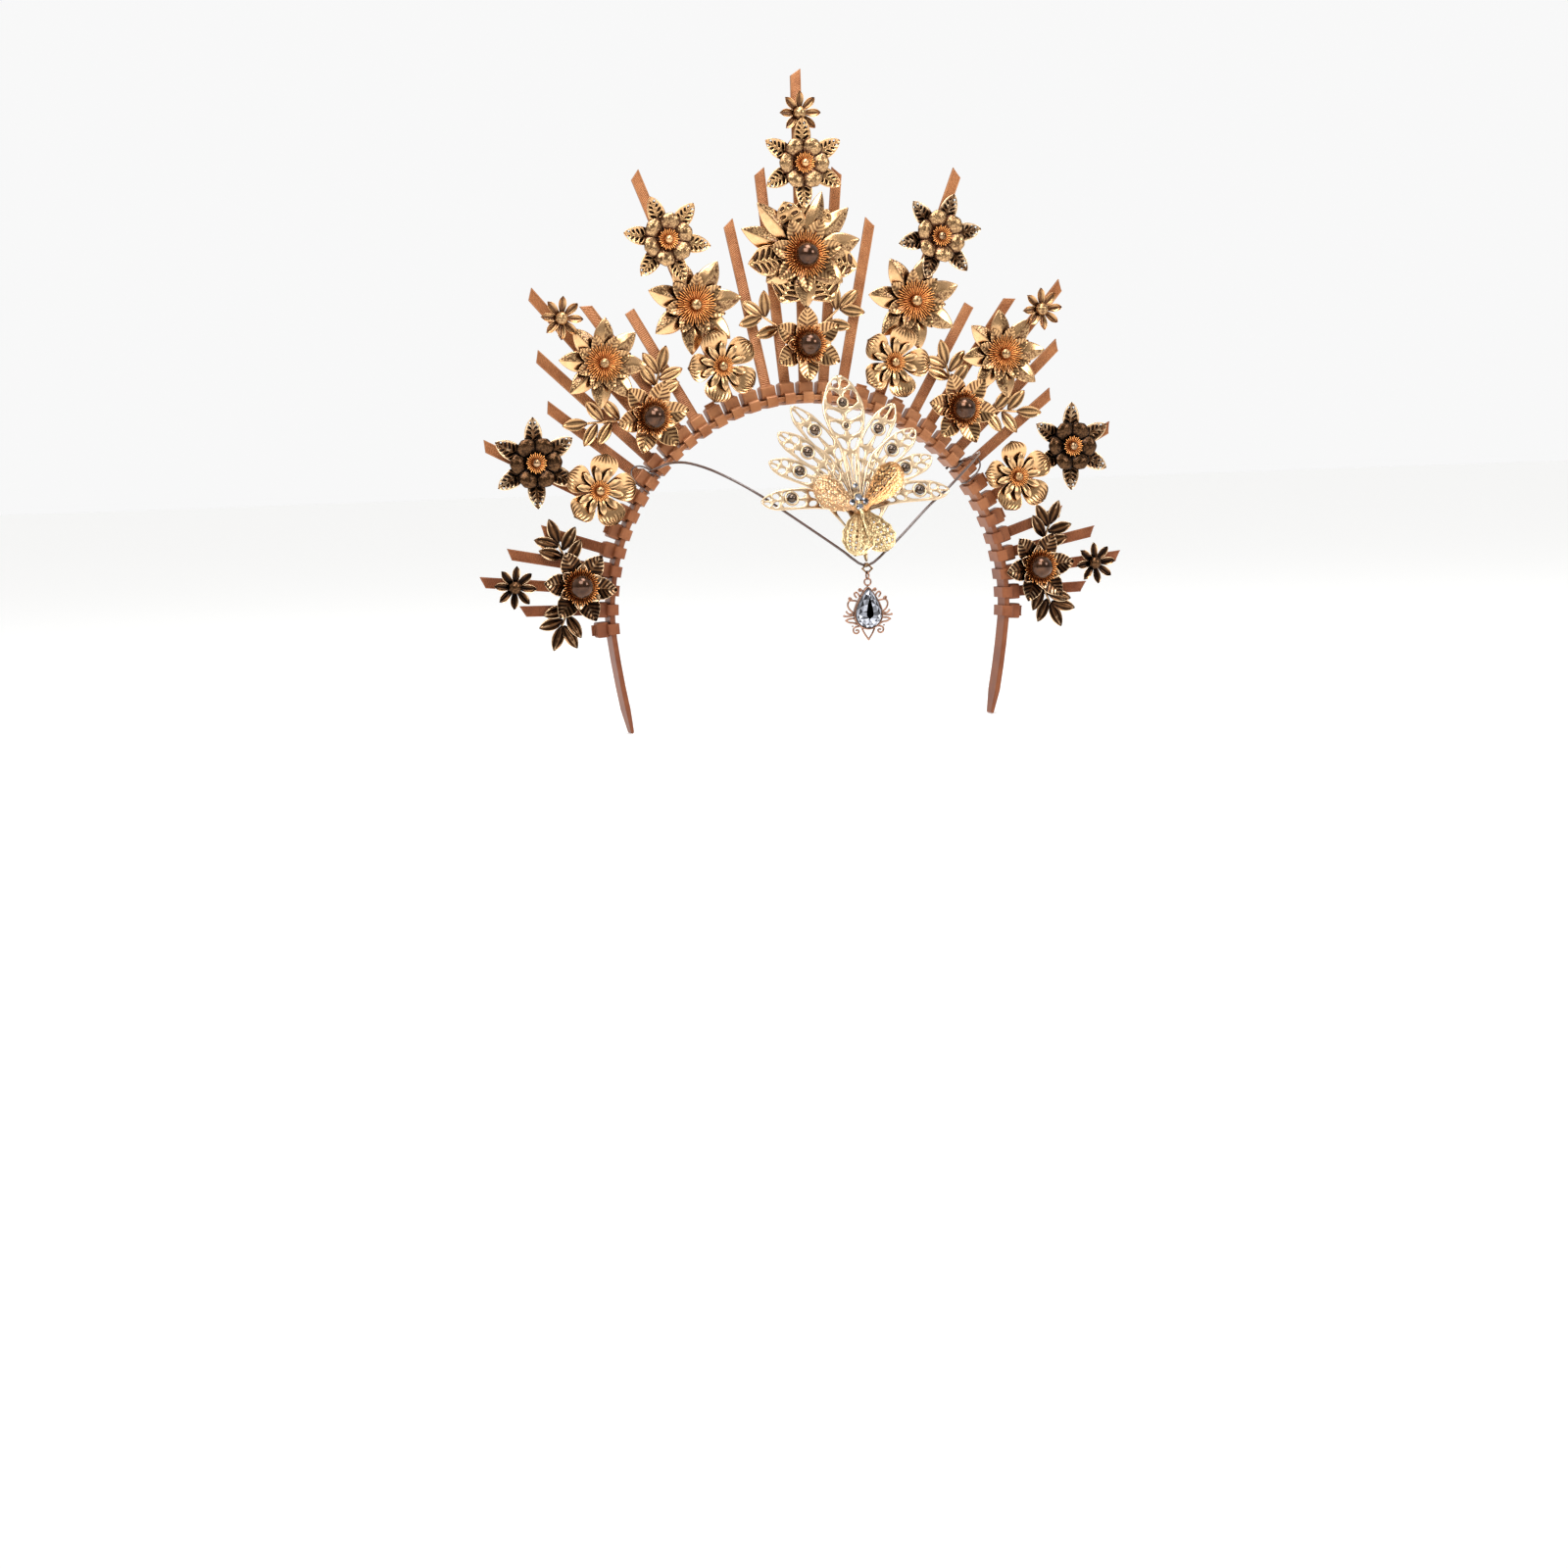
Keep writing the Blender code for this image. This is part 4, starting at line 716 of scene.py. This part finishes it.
# Flowers given the darker golds as painted shade.
LOW_IN_SHADE = ("leafy_lower", "daisy_lower", "pearl_flower_lower")
BOTH_SIDES = ((0.34, 1), (0.44, -1), (0.53, 1), (0.60, -1), (1.0, 0))
SPRIGS = {"pearl_flower_top": ((-56, 2.10, ((0.40, -1), (0.66, -1), (0.62, 1), (1.0, 0))),
                               (47, 2.10, ((0.40, 1), (0.66, 1), (0.62, -1), (1.0, 0)))),
          "pearl_flower_middle": ((-55, 1.94, BOTH_SIDES), (54, 2.41, BOTH_SIDES)),
          "pearl_flower_lower": ((-61, 1.94, BOTH_SIDES), (74, 1.82, BOTH_SIDES))}
SPRIG_LEAF, SPRIG_SPREAD, SPRIG_LEVEL = 0.0120, radians(52), 0.0009


def add_sprig(shape, frame, length, leaves):
    """Add a leaf sprig: a thin stem with a ribbed leaf at its end and along its sides."""
    add_petal(shape, moved(frame, z=SPRIG_LEVEL), 0.0015, length - 0.75 * SPRIG_LEAF, (-1.0, 0.0, 1.0),
              span(8, 0.0), lambda u: 0.0006, lambda s, u: -0.0002 * abs(s), 0.0007)
    for share, side in leaves:
        place = moved(frame, side * 0.0005, share * length - (0 if side else SPRIG_LEAF), SPRIG_LEVEL)
        add_petal(shape, turned(place, -side * SPRIG_SPREAD), 0.0, SPRIG_LEAF,
                  (-1.0, -0.85, -0.5, -0.14, 0.14, 0.5, 0.85, 1.0), span(10, 0.0),
                  leaf_width(0.0029, 0.95, 0.70, 0.2),
                  lambda s, u: (-0.0003 if 0.4 < abs(s) < 0.6 else 0.0003) + 0.0012 * u, 0.0006,
                  groove=lambda s, u: 0.85 * (0.4 < abs(s) < 0.6) * (u < 0.9))


for name, kind, angle, share, radius, high in FLOWERS:
    for side, ending in copies(angle == 0):
        ray = turned(CROWN_FRAME, -radians(angle) * side)
        foot = moved(ray, y=HEAD_TOP + RAY_LENGTH * share, z=GLUE_PLANE)
        pad = HIGH_PAD_HEIGHT if high else PAD_HEIGHT
        flower = bmesh.new()
        add_pad(flower, foot, pad, 0.09 * radius)
        kind(flower, moved(foot, z=pad) @ Matrix.Diagonal((radius, radius, radius, 1)))
        for direction, length_share, leaves in SPRIGS.get(name, ()):
            add_sprig(flower, turned(foot, -radians(direction) * side), radius * length_share, leaves)
        # The low flowers and leafy_upper_left take darker golds as painted shade, and the leafy and low
        # flowers a deeper painted shadow under their pierced leaves.
        in_shade = name in LOW_IN_SHADE
        bright = low_shade_gold if in_shade or name + ending == "leafy_upper_left" else yellow_gold
        grained = low_shade_speckled_gold if in_shade else speckled_gold
        shaded = deep_shade_gold if in_shade or name.startswith("leafy") else shaded_gold
        add_piece(f"{name}_metal{ending}", flower, [bright, grained, copper_filaments, bronze_pearl, shaded],
                  [name + ending], levels=1)


# Fan. One flat cast filigree of nine feathers with satin pale gold plate: each has a rail round it, a rib,
# open cells, and round eyelets that hold small dark balls. Its foot sits on the cord's lowest point.
def add_ring(shape, matrix, radius, wire, steps, material=0, sides=8):
    """Add a closed ring of round wire about the frame's z axis."""
    section = bmesh.ops.create_circle(shape, segments=sides, radius=wire,
                                      matrix=Matrix.Translation((radius, 0, 0)) @ STANDING)["verts"]
    before = set(shape.faces)
    bmesh.ops.spin(shape, geom=parts_of(section, "link_edges"), cent=(0, 0, 0), axis=(0, 0, 1),
                   angle=tau, steps=steps, use_merge=True)
    faces = [face for face in shape.faces if face not in before]
    for face in faces:
        face.material_index = material
    bmesh.ops.transform(shape, matrix=matrix, verts=parts_of(faces, "verts"))


FAN_LENGTH, FAN_THICKNESS, FAN_ROOT, FAN_RAIL = 0.0841, 0.0008, 0.235, 0.0013
FAN_FOOT, FAN_TILT = (0, -0.0773, -0.0685), radians(20.8)
FAN_FRAME = Matrix.Translation(FAN_FOOT) @ Matrix.Rotation(pi / 2 - FAN_TILT, 4, "X")
FEATHERS = ((0.000, 1.000, 0.118), (0.285, 0.836, 0.076), (0.380, 0.689, 0.073), (0.452, 0.531, 0.070),
            (0.521, 0.343, 0.066))
CELL_LINES = ((0.0, 0.12, 0.42, 0.442, 0.52, 0.542, 0.63, 0.652, 0.715, 0.735, 0.865, 0.885, 0.945, 1.0),
              (0.0, 0.12, 0.29, 0.312, 0.40, 0.422, 0.51, 0.532, 0.80, 0.822, 0.955, 1.0),
              (0.0, 0.12, 0.29, 0.312, 0.39, 0.412, 0.49, 0.512, 0.77, 0.792, 0.86, 0.882, 0.955, 1.0))
EYES = (((0.795, 0.0024, 0.0019), (0.625, 0.0016, 0.0012)), ((0.735, 0.0029, 0.0021),),
        ((0.69, 0.0029, 0.0021),))
EYELET_WIRE = 0.00068
LOW_DROOP, FEATHER_BEND, FEATHER_STAGGER = radians(3.5), 0.085, 0.00012


def feather_width(full, opens, widest, narrow):
    """Half the width of a feather: it opens between two shares of its length and closes to a point."""
    def width(u):
        if u < widest:
            rise = max(0.0, u - opens) / (widest - opens)
            return full * (narrow + (1 - narrow) * sin(pi / 2 * rise) ** 1.4)
        return full * max(0.03, max(0.0, cos(pi / 2 * (u - widest) / (1 - widest))) ** 0.50)
    return width


def slide_to_rails(s, half):
    """Keep a feather's rails and its middle rib one width from root to tip."""
    if abs(s) == 1.0:
        return s
    share = FAN_RAIL * min(1.0, 0.45 + half / 0.008) / half
    return copysign(max(0.45, 1.0 - share) if abs(s) > 0.5 else min(0.25, 0.38 * share), s)


pale_gold = gilt("pale_gold", (0.60, 0.43, 0.265), (0.22, 0.12, 0.06), 0.34, coat=0.3,
                 rim=(0.72, 0.54, 0.35))
dark_ball = clouded("dark_ball", (0.045, 0.024, 0.012), (0.12, 0.066, 0.030), 0.18, 0.9, 1.0)
fan = bmesh.new()
for number, (across_tip, up_tip, half) in enumerate(FEATHERS):
    opening = (0.36, 0.74, 0.26) if number == 0 else (0.0, 0.70, 0.14)
    kind = min(number, 2)
    for side in (1,) if number == 0 else (-1, 1):
        run = Vector((across_tip * side, up_tip - FAN_ROOT))
        droop = LOW_DROOP if number == 4 and side < 0 else 0.0
        length, angle = run.length * FAN_LENGTH, atan2(run.x, run.y) - droop
        bend = 0.0 if number == 0 else side * FEATHER_BEND * length

        def sway(u):
            return -bend * sin(pi * u) ** 1.5

        stagger = FEATHER_STAGGER * (1 - 2 * (number % 2))
        place = turned(moved(FAN_FRAME, y=FAN_ROOT * FAN_LENGTH, z=stagger), -angle)
        add_petal(fan, place, 0.0, length, (-1.0, -0.7, -0.1, 0.1, 0.7, 1.0), CELL_LINES[kind],
                  feather_width(half * FAN_LENGTH, *opening),
                  lambda s, u: FAN_THICKNESS / 2 + (0.00025 if abs(s) > 0.65 else 0.0), FAN_THICKNESS,
                  hole=lambda column, row: column in (1, 3) and row % 2 == 1, shear=0.5, sway=sway,
                  slide=slide_to_rails)
        for share, radius, ball in EYES[kind]:
            eye = moved(place, sway(share), share * length, FAN_THICKNESS / 2)
            add_ring(fan, eye, radius, EYELET_WIRE, 24)
            add_knob(fan, eye, 0.0002, ball, 1, 0.8)
foot = moved(FAN_FRAME, z=-0.0001)
add_petal(fan, foot, 0.0030, 0.0250, (-1.0, -0.82, -0.42, -0.12, 0.12, 0.42, 0.82, 1.0), span(6, 0.0),
          lambda u: 0.0016 + 0.0150 * u ** 1.2, lambda s, u: FAN_THICKNESS / 2, FAN_THICKNESS,
          hole=lambda column, row: column in (1, 5) and row in (2, 3, 4))
add_petal(fan, foot, -0.0033, 0.0040, (-1.0, 0.0, 1.0), span(4, 0.0), lambda u: 0.0006 + 0.0010 * u,
          lambda s, u: 0.0006, 0.0008)
add_piece("fan_filigree", fan, [pale_gold, dark_ball], ["peacock_fan"], levels=1)

# Butterfly. A cast butterfly on the fan's foot: grained orange gold upper wings, pierced pale lower wings
# and a slim body, with a cluster of small clear stones at its head.
orange_gold = gilt("orange_gold", (1.0, 0.64, 0.30), (0.44, 0.21, 0.08), 0.30, grain=1.3)
peach_gold = gilt("peach_gold", (1.0, 0.76, 0.46), (0.56, 0.31, 0.15), 0.30, grain=1.3)
butter_gold = gilt("butter_gold", (0.90, 0.68, 0.36), (0.30, 0.17, 0.07), 0.32, grain=0.7)
BUTTER, PIT, ORANGE, PEACH = range(4)
BUTTERFLY_SIZE, WING_TILT = 0.0240, radians(9)
perch = turned(moved(FAN_FRAME, y=0.0198, z=0.0013), radians(7))
WINGS = ((-1, 60, 0.04, 1.02, 0.34, PEACH), (1, -59, 0.04, 1.16, 0.28, ORANGE),
         (-1, 165, 0.02, 0.92, 0.34, BUTTER), (1, -170, 0.02, 0.90, 0.33, BUTTER))
BODY_PARTS = ((0.12, 0.09, 0.060), (-0.06, 0.16, 0.065), (-0.38, 0.26, 0.04))
wings = bmesh.new()
for side, turn_of_wing, start, length, half, finish in WINGS:
    lower = finish == BUTTER
    pitted = side > 0 and finish == ORANGE
    raised = moved(perch @ Matrix.Rotation(-WING_TILT * side, 4, "Y"), side * 0.0010 if lower else 0.0,
                   z=0.03 * BUTTERFLY_SIZE)
    plain = leaf_width(half * BUTTERFLY_SIZE, 1.35 if lower else 1.8, 0.50, 0.35)
    add_petal(wings, turned(raised, radians(turn_of_wing)), start * BUTTERFLY_SIZE,
              length * BUTTERFLY_SIZE, span(20), span(24, 0.0),
              lambda u: plain(u) * (1 + 0.05 * sin(9 * pi * u)),
              lambda s, u: 0.0004 + 0.0010 * s * s + 0.0002 * cos(10 * pi * s), 0.0006,
              tone=lambda column, row: (PIT if pitted and row % 3 and column % 3 == row % 2 and 5 < row < 22
                                        and 1 < column < 12 else finish),
              hole=lambda column, row: (lower and row % 3 == 1 and column % 4 == 2 and 5 < row < 20
                                        and 1 < column < 18),
              sway=lambda u: -side * 0.10 * BUTTERFLY_SIZE * u * u,
              groove=lambda s, u: 0.5 * (round(10 * (s + 1)) % 4 == 2) * (0.15 < u < 0.9))
for up, length, half in BODY_PARTS:
    verts = bmesh.ops.create_uvsphere(wings, u_segments=14, v_segments=10, radius=BUTTERFLY_SIZE)["verts"]
    middle = moved(perch, y=up * BUTTERFLY_SIZE, z=0.0012)
    bmesh.ops.transform(wings, verts=verts, matrix=middle @ Matrix.Diagonal((half, length, half, 1.0)))
SMALL_STONES = ((-0.0002, 0.0256, 0.0021), (-0.0034, 0.0236, 0.0018), (0.0028, 0.0238, 0.0018),
                (-0.0002, 0.0212, 0.0019), (-0.0008, 0.0312, 0.0014))
for x, y, radius in SMALL_STONES:
    add_ring(wings, moved(FAN_FRAME, x, y, 0.0028), radius, 0.00035, 16, BUTTER, 6)
add_piece("butterfly_casting", wings, [butter_gold, dark_ball, orange_gold, peach_gold],
          ["butterfly"], levels=1)

# Drop. A bail and a link of plated wire carry a rose gold frame: scrolls and leaves of round wire soldered
# round a bezel that holds a pear-shaped cut crystal with a foil back, its facets painted light and dark as
# painted reflections.
rose_gold = gilt("rose_gold", (0.34, 0.175, 0.112), (0.045, 0.020, 0.012), 0.26)
CORD_LOW = Vector((0, -0.0780, -0.0735))
BAIL_PLANE, BAIL_MIDDLE, BAIL_SQUASH, BAIL_ROUNDING = -0.07925, -0.0745, 0.93, 0.00012
bail = bmesh.new()
section = [bail.verts.new((x, y, 0.0)) for x, y in ((0.0017, -0.00035), (0.0017, 0.00035), (0.0028, 0.00035),
                                                    (0.0028, -0.00035))]
edges = [bail.edges.new((section[i - 1], section[i])) for i in range(4)]
bmesh.ops.spin(bail, geom=edges, cent=(0, 0, 0), axis=(0, 1, 0), angle=tau, steps=4, use_merge=True)
bmesh.ops.transform(bail, verts=bail.verts, matrix=(Matrix.Translation((0, BAIL_PLANE, BAIL_MIDDLE))
                                                    @ Matrix.Diagonal((1, 1, BAIL_SQUASH, 1))))
hook = [bail.verts.new((x, CORD_LOW.y - reach, CORD_LOW.z)) for x, reach in (
    (-0.0008, 0.0009), (0.0008, 0.0009), (0.0008, 0.0016), (-0.0008, 0.0016))]
bmesh.ops.spin(bail, geom=[bail.faces.new(hook)], cent=CORD_LOW, axis=(1, 0, 0), angle=-pi, steps=10)
bevel(bail, [edge for edge in bail.edges if len(edge.link_faces) == 2 and edge.calc_face_angle() > 0.9],
      BAIL_ROUNDING)
# The bail takes the gold darkened as painted shade.
add_piece("bail_plated", bail, [low_shade_gold], ["bail"], smooth=False)
link = bmesh.new()
link_place = Matrix.Translation((0, BAIL_PLANE, -0.07741))
add_ring(link, link_place @ Matrix.Rotation(pi / 2, 4, "Y"), 0.0017, 0.0004, 32)
add_piece("link_wire", link, [rose_gold], ["link"])

STONE_WIDTH, STONE_HEIGHT = 0.0117, 0.0172
DROP_FRAME = Matrix.Translation((0, BAIL_PLANE + 0.0006, -0.09446)) @ STANDING


def pear_ring(shape, grow, height, sides, shift=0.0):
    """Add a ring of a pear outline, round below and pointed above, grown on every side."""
    ring = bmesh.ops.create_circle(shape, segments=sides, radius=1.0)["verts"]
    width, tall = STONE_WIDTH + 2 * grow, STONE_HEIGHT + 2 * grow
    for i, vert in enumerate(ring):
        turn_here = tau * (i + shift) / sides
        x, y = sin(turn_here) * width / 2, cos(turn_here)
        if y > 0:
            x *= 1 - 0.30 * y * y
            y = (tall - width / 2) * (1 - (1 - y) ** 0.75)
        else:
            y *= width / 2
        vert.co = (x, y, height)
    return ring


def add_wire(shape, matrix, points, wire):
    """Add a round wire along a smooth line through the points, given in millimetres."""
    line = new_strand("wire", "NURBS", [Vector((*point, 0.0)[:3]) / 1000 for point in points], wire, 2)
    line.resolution_u = 6
    line.splines[0].order_u = 3
    line.splines[0].use_endpoint_u = True
    holder = bpy.data.objects.new("wire", line)
    mesh = bpy.data.meshes.new_from_object(holder)
    mesh.transform(matrix)
    shape.from_mesh(mesh)
    bpy.data.objects.remove(holder)
    bpy.data.curves.remove(line)
    bpy.data.meshes.remove(mesh)


BEZEL = ((0.0009, -0.0006), (0.0009, 0.0008), (0.00075, 0.0014), (0.00045, 0.0014), (0.0003, 0.0011),
         (0.0003, 0.0006), (-0.0010, 0.0), (-0.0010, -0.0006))
SCROLL_WIRE = 0.00042
SCROLLS = (
    ((1.9, 9.8), (2.6, 10.6), (3.6, 11.4), (4.1, 10.6), (3.3, 10.0), (3.0, 10.6)),
    ((3.7, 7.9), (4.2, 9.2), (5.4, 9.9), (6.2, 9.2), (5.8, 8.0), (5.0, 7.4)),
    ((5.1, 6.0), (6.6, 6.2), (8.4, 6.4), (9.2, 5.2), (9.3, 3.6), (8.2, 2.0), (6.9, 1.0)),
    ((8.2, 6.2), (8.9, 7.2), (8.0, 7.6), (7.6, 6.9)),
    ((6.5, 0.8), (8.0, 0.2), (9.4, 0.6), (9.9, 1.4)),
    ((6.5, -0.2), (8.6, -0.6), (10.2, -0.6), (10.9, -0.4)),
    ((6.2, -1.6), (8.0, -1.6), (9.6, -1.9), (10.2, -2.4), (8.8, -3.4), (6.6, -3.4), (5.2, -4.4)),
    ((4.3, -5.2), (5.6, -5.2), (7.0, -6.0), (7.0, -7.6), (5.6, -8.4), (4.3, -7.6), (4.7, -6.6), (5.6, -6.8)),
    ((2.9, -6.1), (2.4, -7.4), (1.2, -9.4), (0.0, -11.0)),
)
DOTS = ((9.9, 1.4, 0.5), (11.0, -0.4, 0.55), (10.2, -2.4, 0.5), (3.0, 10.6, 0.45), (7.6, 6.9, 0.45),
        (5.6, -6.8, 0.45), (7.3, -5.0, 0.4))
setting = bmesh.new()
rings = [pear_ring(setting, grow, height, 48) for grow, height in BEZEL]
join_rings(setting, rings + rings[:1])
bmesh.ops.transform(setting, matrix=DROP_FRAME, verts=setting.verts)
add_ring(setting, Matrix.Translation((0, BAIL_PLANE, -0.08031)) @ STANDING, 0.0015, 0.0004, 28)
for side in (-1, 1):
    for scroll in SCROLLS:
        add_wire(setting, DROP_FRAME, [(x * side, y) for x, y in scroll], SCROLL_WIRE)
    for x, y, radius in DOTS:
        add_knob(setting, moved(DROP_FRAME, x * side / 1000, y / 1000), 0.0, radius / 1000, 0, 1.0)
add_knob(setting, moved(DROP_FRAME, y=-0.0110), 0.0, 0.0005, 0, 1.0)
add_piece("drop_setting", setting, [rose_gold], ["drop_frame"], body="drop")

STONE_SIDES, STONE_SEAT, STONE_DEPTH = 16, 0.0009, 0.0050
STONE_RINGS = ((-0.34, -0.24, 0.5), (-0.13, -0.06, 0.0), (0.0, 0.06, 0.5), (0.0, 0.12, 0.5),
               (-0.08, 0.27, 0.0), (-0.20, 0.42, 0.5), (-0.36, 0.42, 0.0))
# Light and dark tones for the facets: painted reflections.
FACET_REFLECTIONS = (0.99, 0.10, 0.42, 0.02, 0.80, 0.22, 0.99, 0.05, 0.36, 0.70, 0.02)


def paint_facet_reflections(shape, step):
    """Give each facet a light or dark tone from a list, a painted reflection of what a foiled cut stone
    shows.
    """
    reflections = shape.faces.layers.float.new("facet_reflection")
    for number, face in enumerate(shape.faces):
        face[reflections] = FACET_REFLECTIONS[(number * step) % len(FACET_REFLECTIONS)]


# The crystal's colour follows each facet's painted reflection tone.
crystal = new_material("crystal", (0.86, 0.88, 0.92), 0.05, 0.75, 0.8)
facets = add_node(crystal, "Attribute", "Fac", attribute_name="facet_reflection")
feed(shader_of(crystal), {"Base Color": add_ramp(crystal, facets, (0.0, (0.012, 0.012, 0.016)),
                                                 (1.0, (0.74, 0.77, 0.88)))})
stone = bmesh.new()
rings = [pear_ring(stone, grow * STONE_WIDTH, STONE_SEAT + height * STONE_DEPTH, STONE_SIDES, shift)
         for grow, height, shift in STONE_RINGS]
join_rings(stone, rings)
stone.faces.new(rings[0])
bmesh.ops.poke(stone, faces=[stone.faces.new(rings[-1])])
bmesh.ops.triangulate(stone, faces=stone.faces[:])
paint_facet_reflections(stone, 7)
bmesh.ops.transform(stone, matrix=DROP_FRAME, verts=stone.verts)
add_piece("pear_crystal", stone, [crystal], ["drop_stone"], body="drop", smooth=False)
small_stones = bmesh.new()
for x, y, radius in SMALL_STONES:
    bmesh.ops.create_cone(small_stones, cap_ends=True, segments=10, radius1=radius, radius2=0.55 * radius,
                          depth=0.5 * radius, matrix=moved(FAN_FRAME, x, y, 0.0030 + 0.25 * radius))
paint_facet_reflections(small_stones, 5)
add_piece("butterfly_stones", small_stones, [crystal], smooth=False)

# Cord loops. At each side the dark cord is tied off in a loop of its own that runs over the front of the
# tenth ray and back round the band.
LOOP_PLACE, LOOP_WIRE = 10, 0.0004
LOOP_POINTS = ((-4.37, 92.9, 0), (-4.37, 92.8, 5.6), (-4.4, 97.4, 5.5), (-4.0, 102.0, 4.2),
               (-1.6, 105.4, 2.0), (1.6, 105.8, 1.9), (4.0, 103.0, 3.6), (4.4, 97.4, 5.5),
               (4.37, 92.8, 5.6), (4.37, 92.9, 0))
loops = bmesh.new()
for side in (-1, 1):
    add_wire(loops, turned(CROWN_FRAME, -PLACE_STEP * LOOP_PLACE * side), LOOP_POINTS, LOOP_WIRE)
add_piece("cord_loops", loops, [cord_brown])
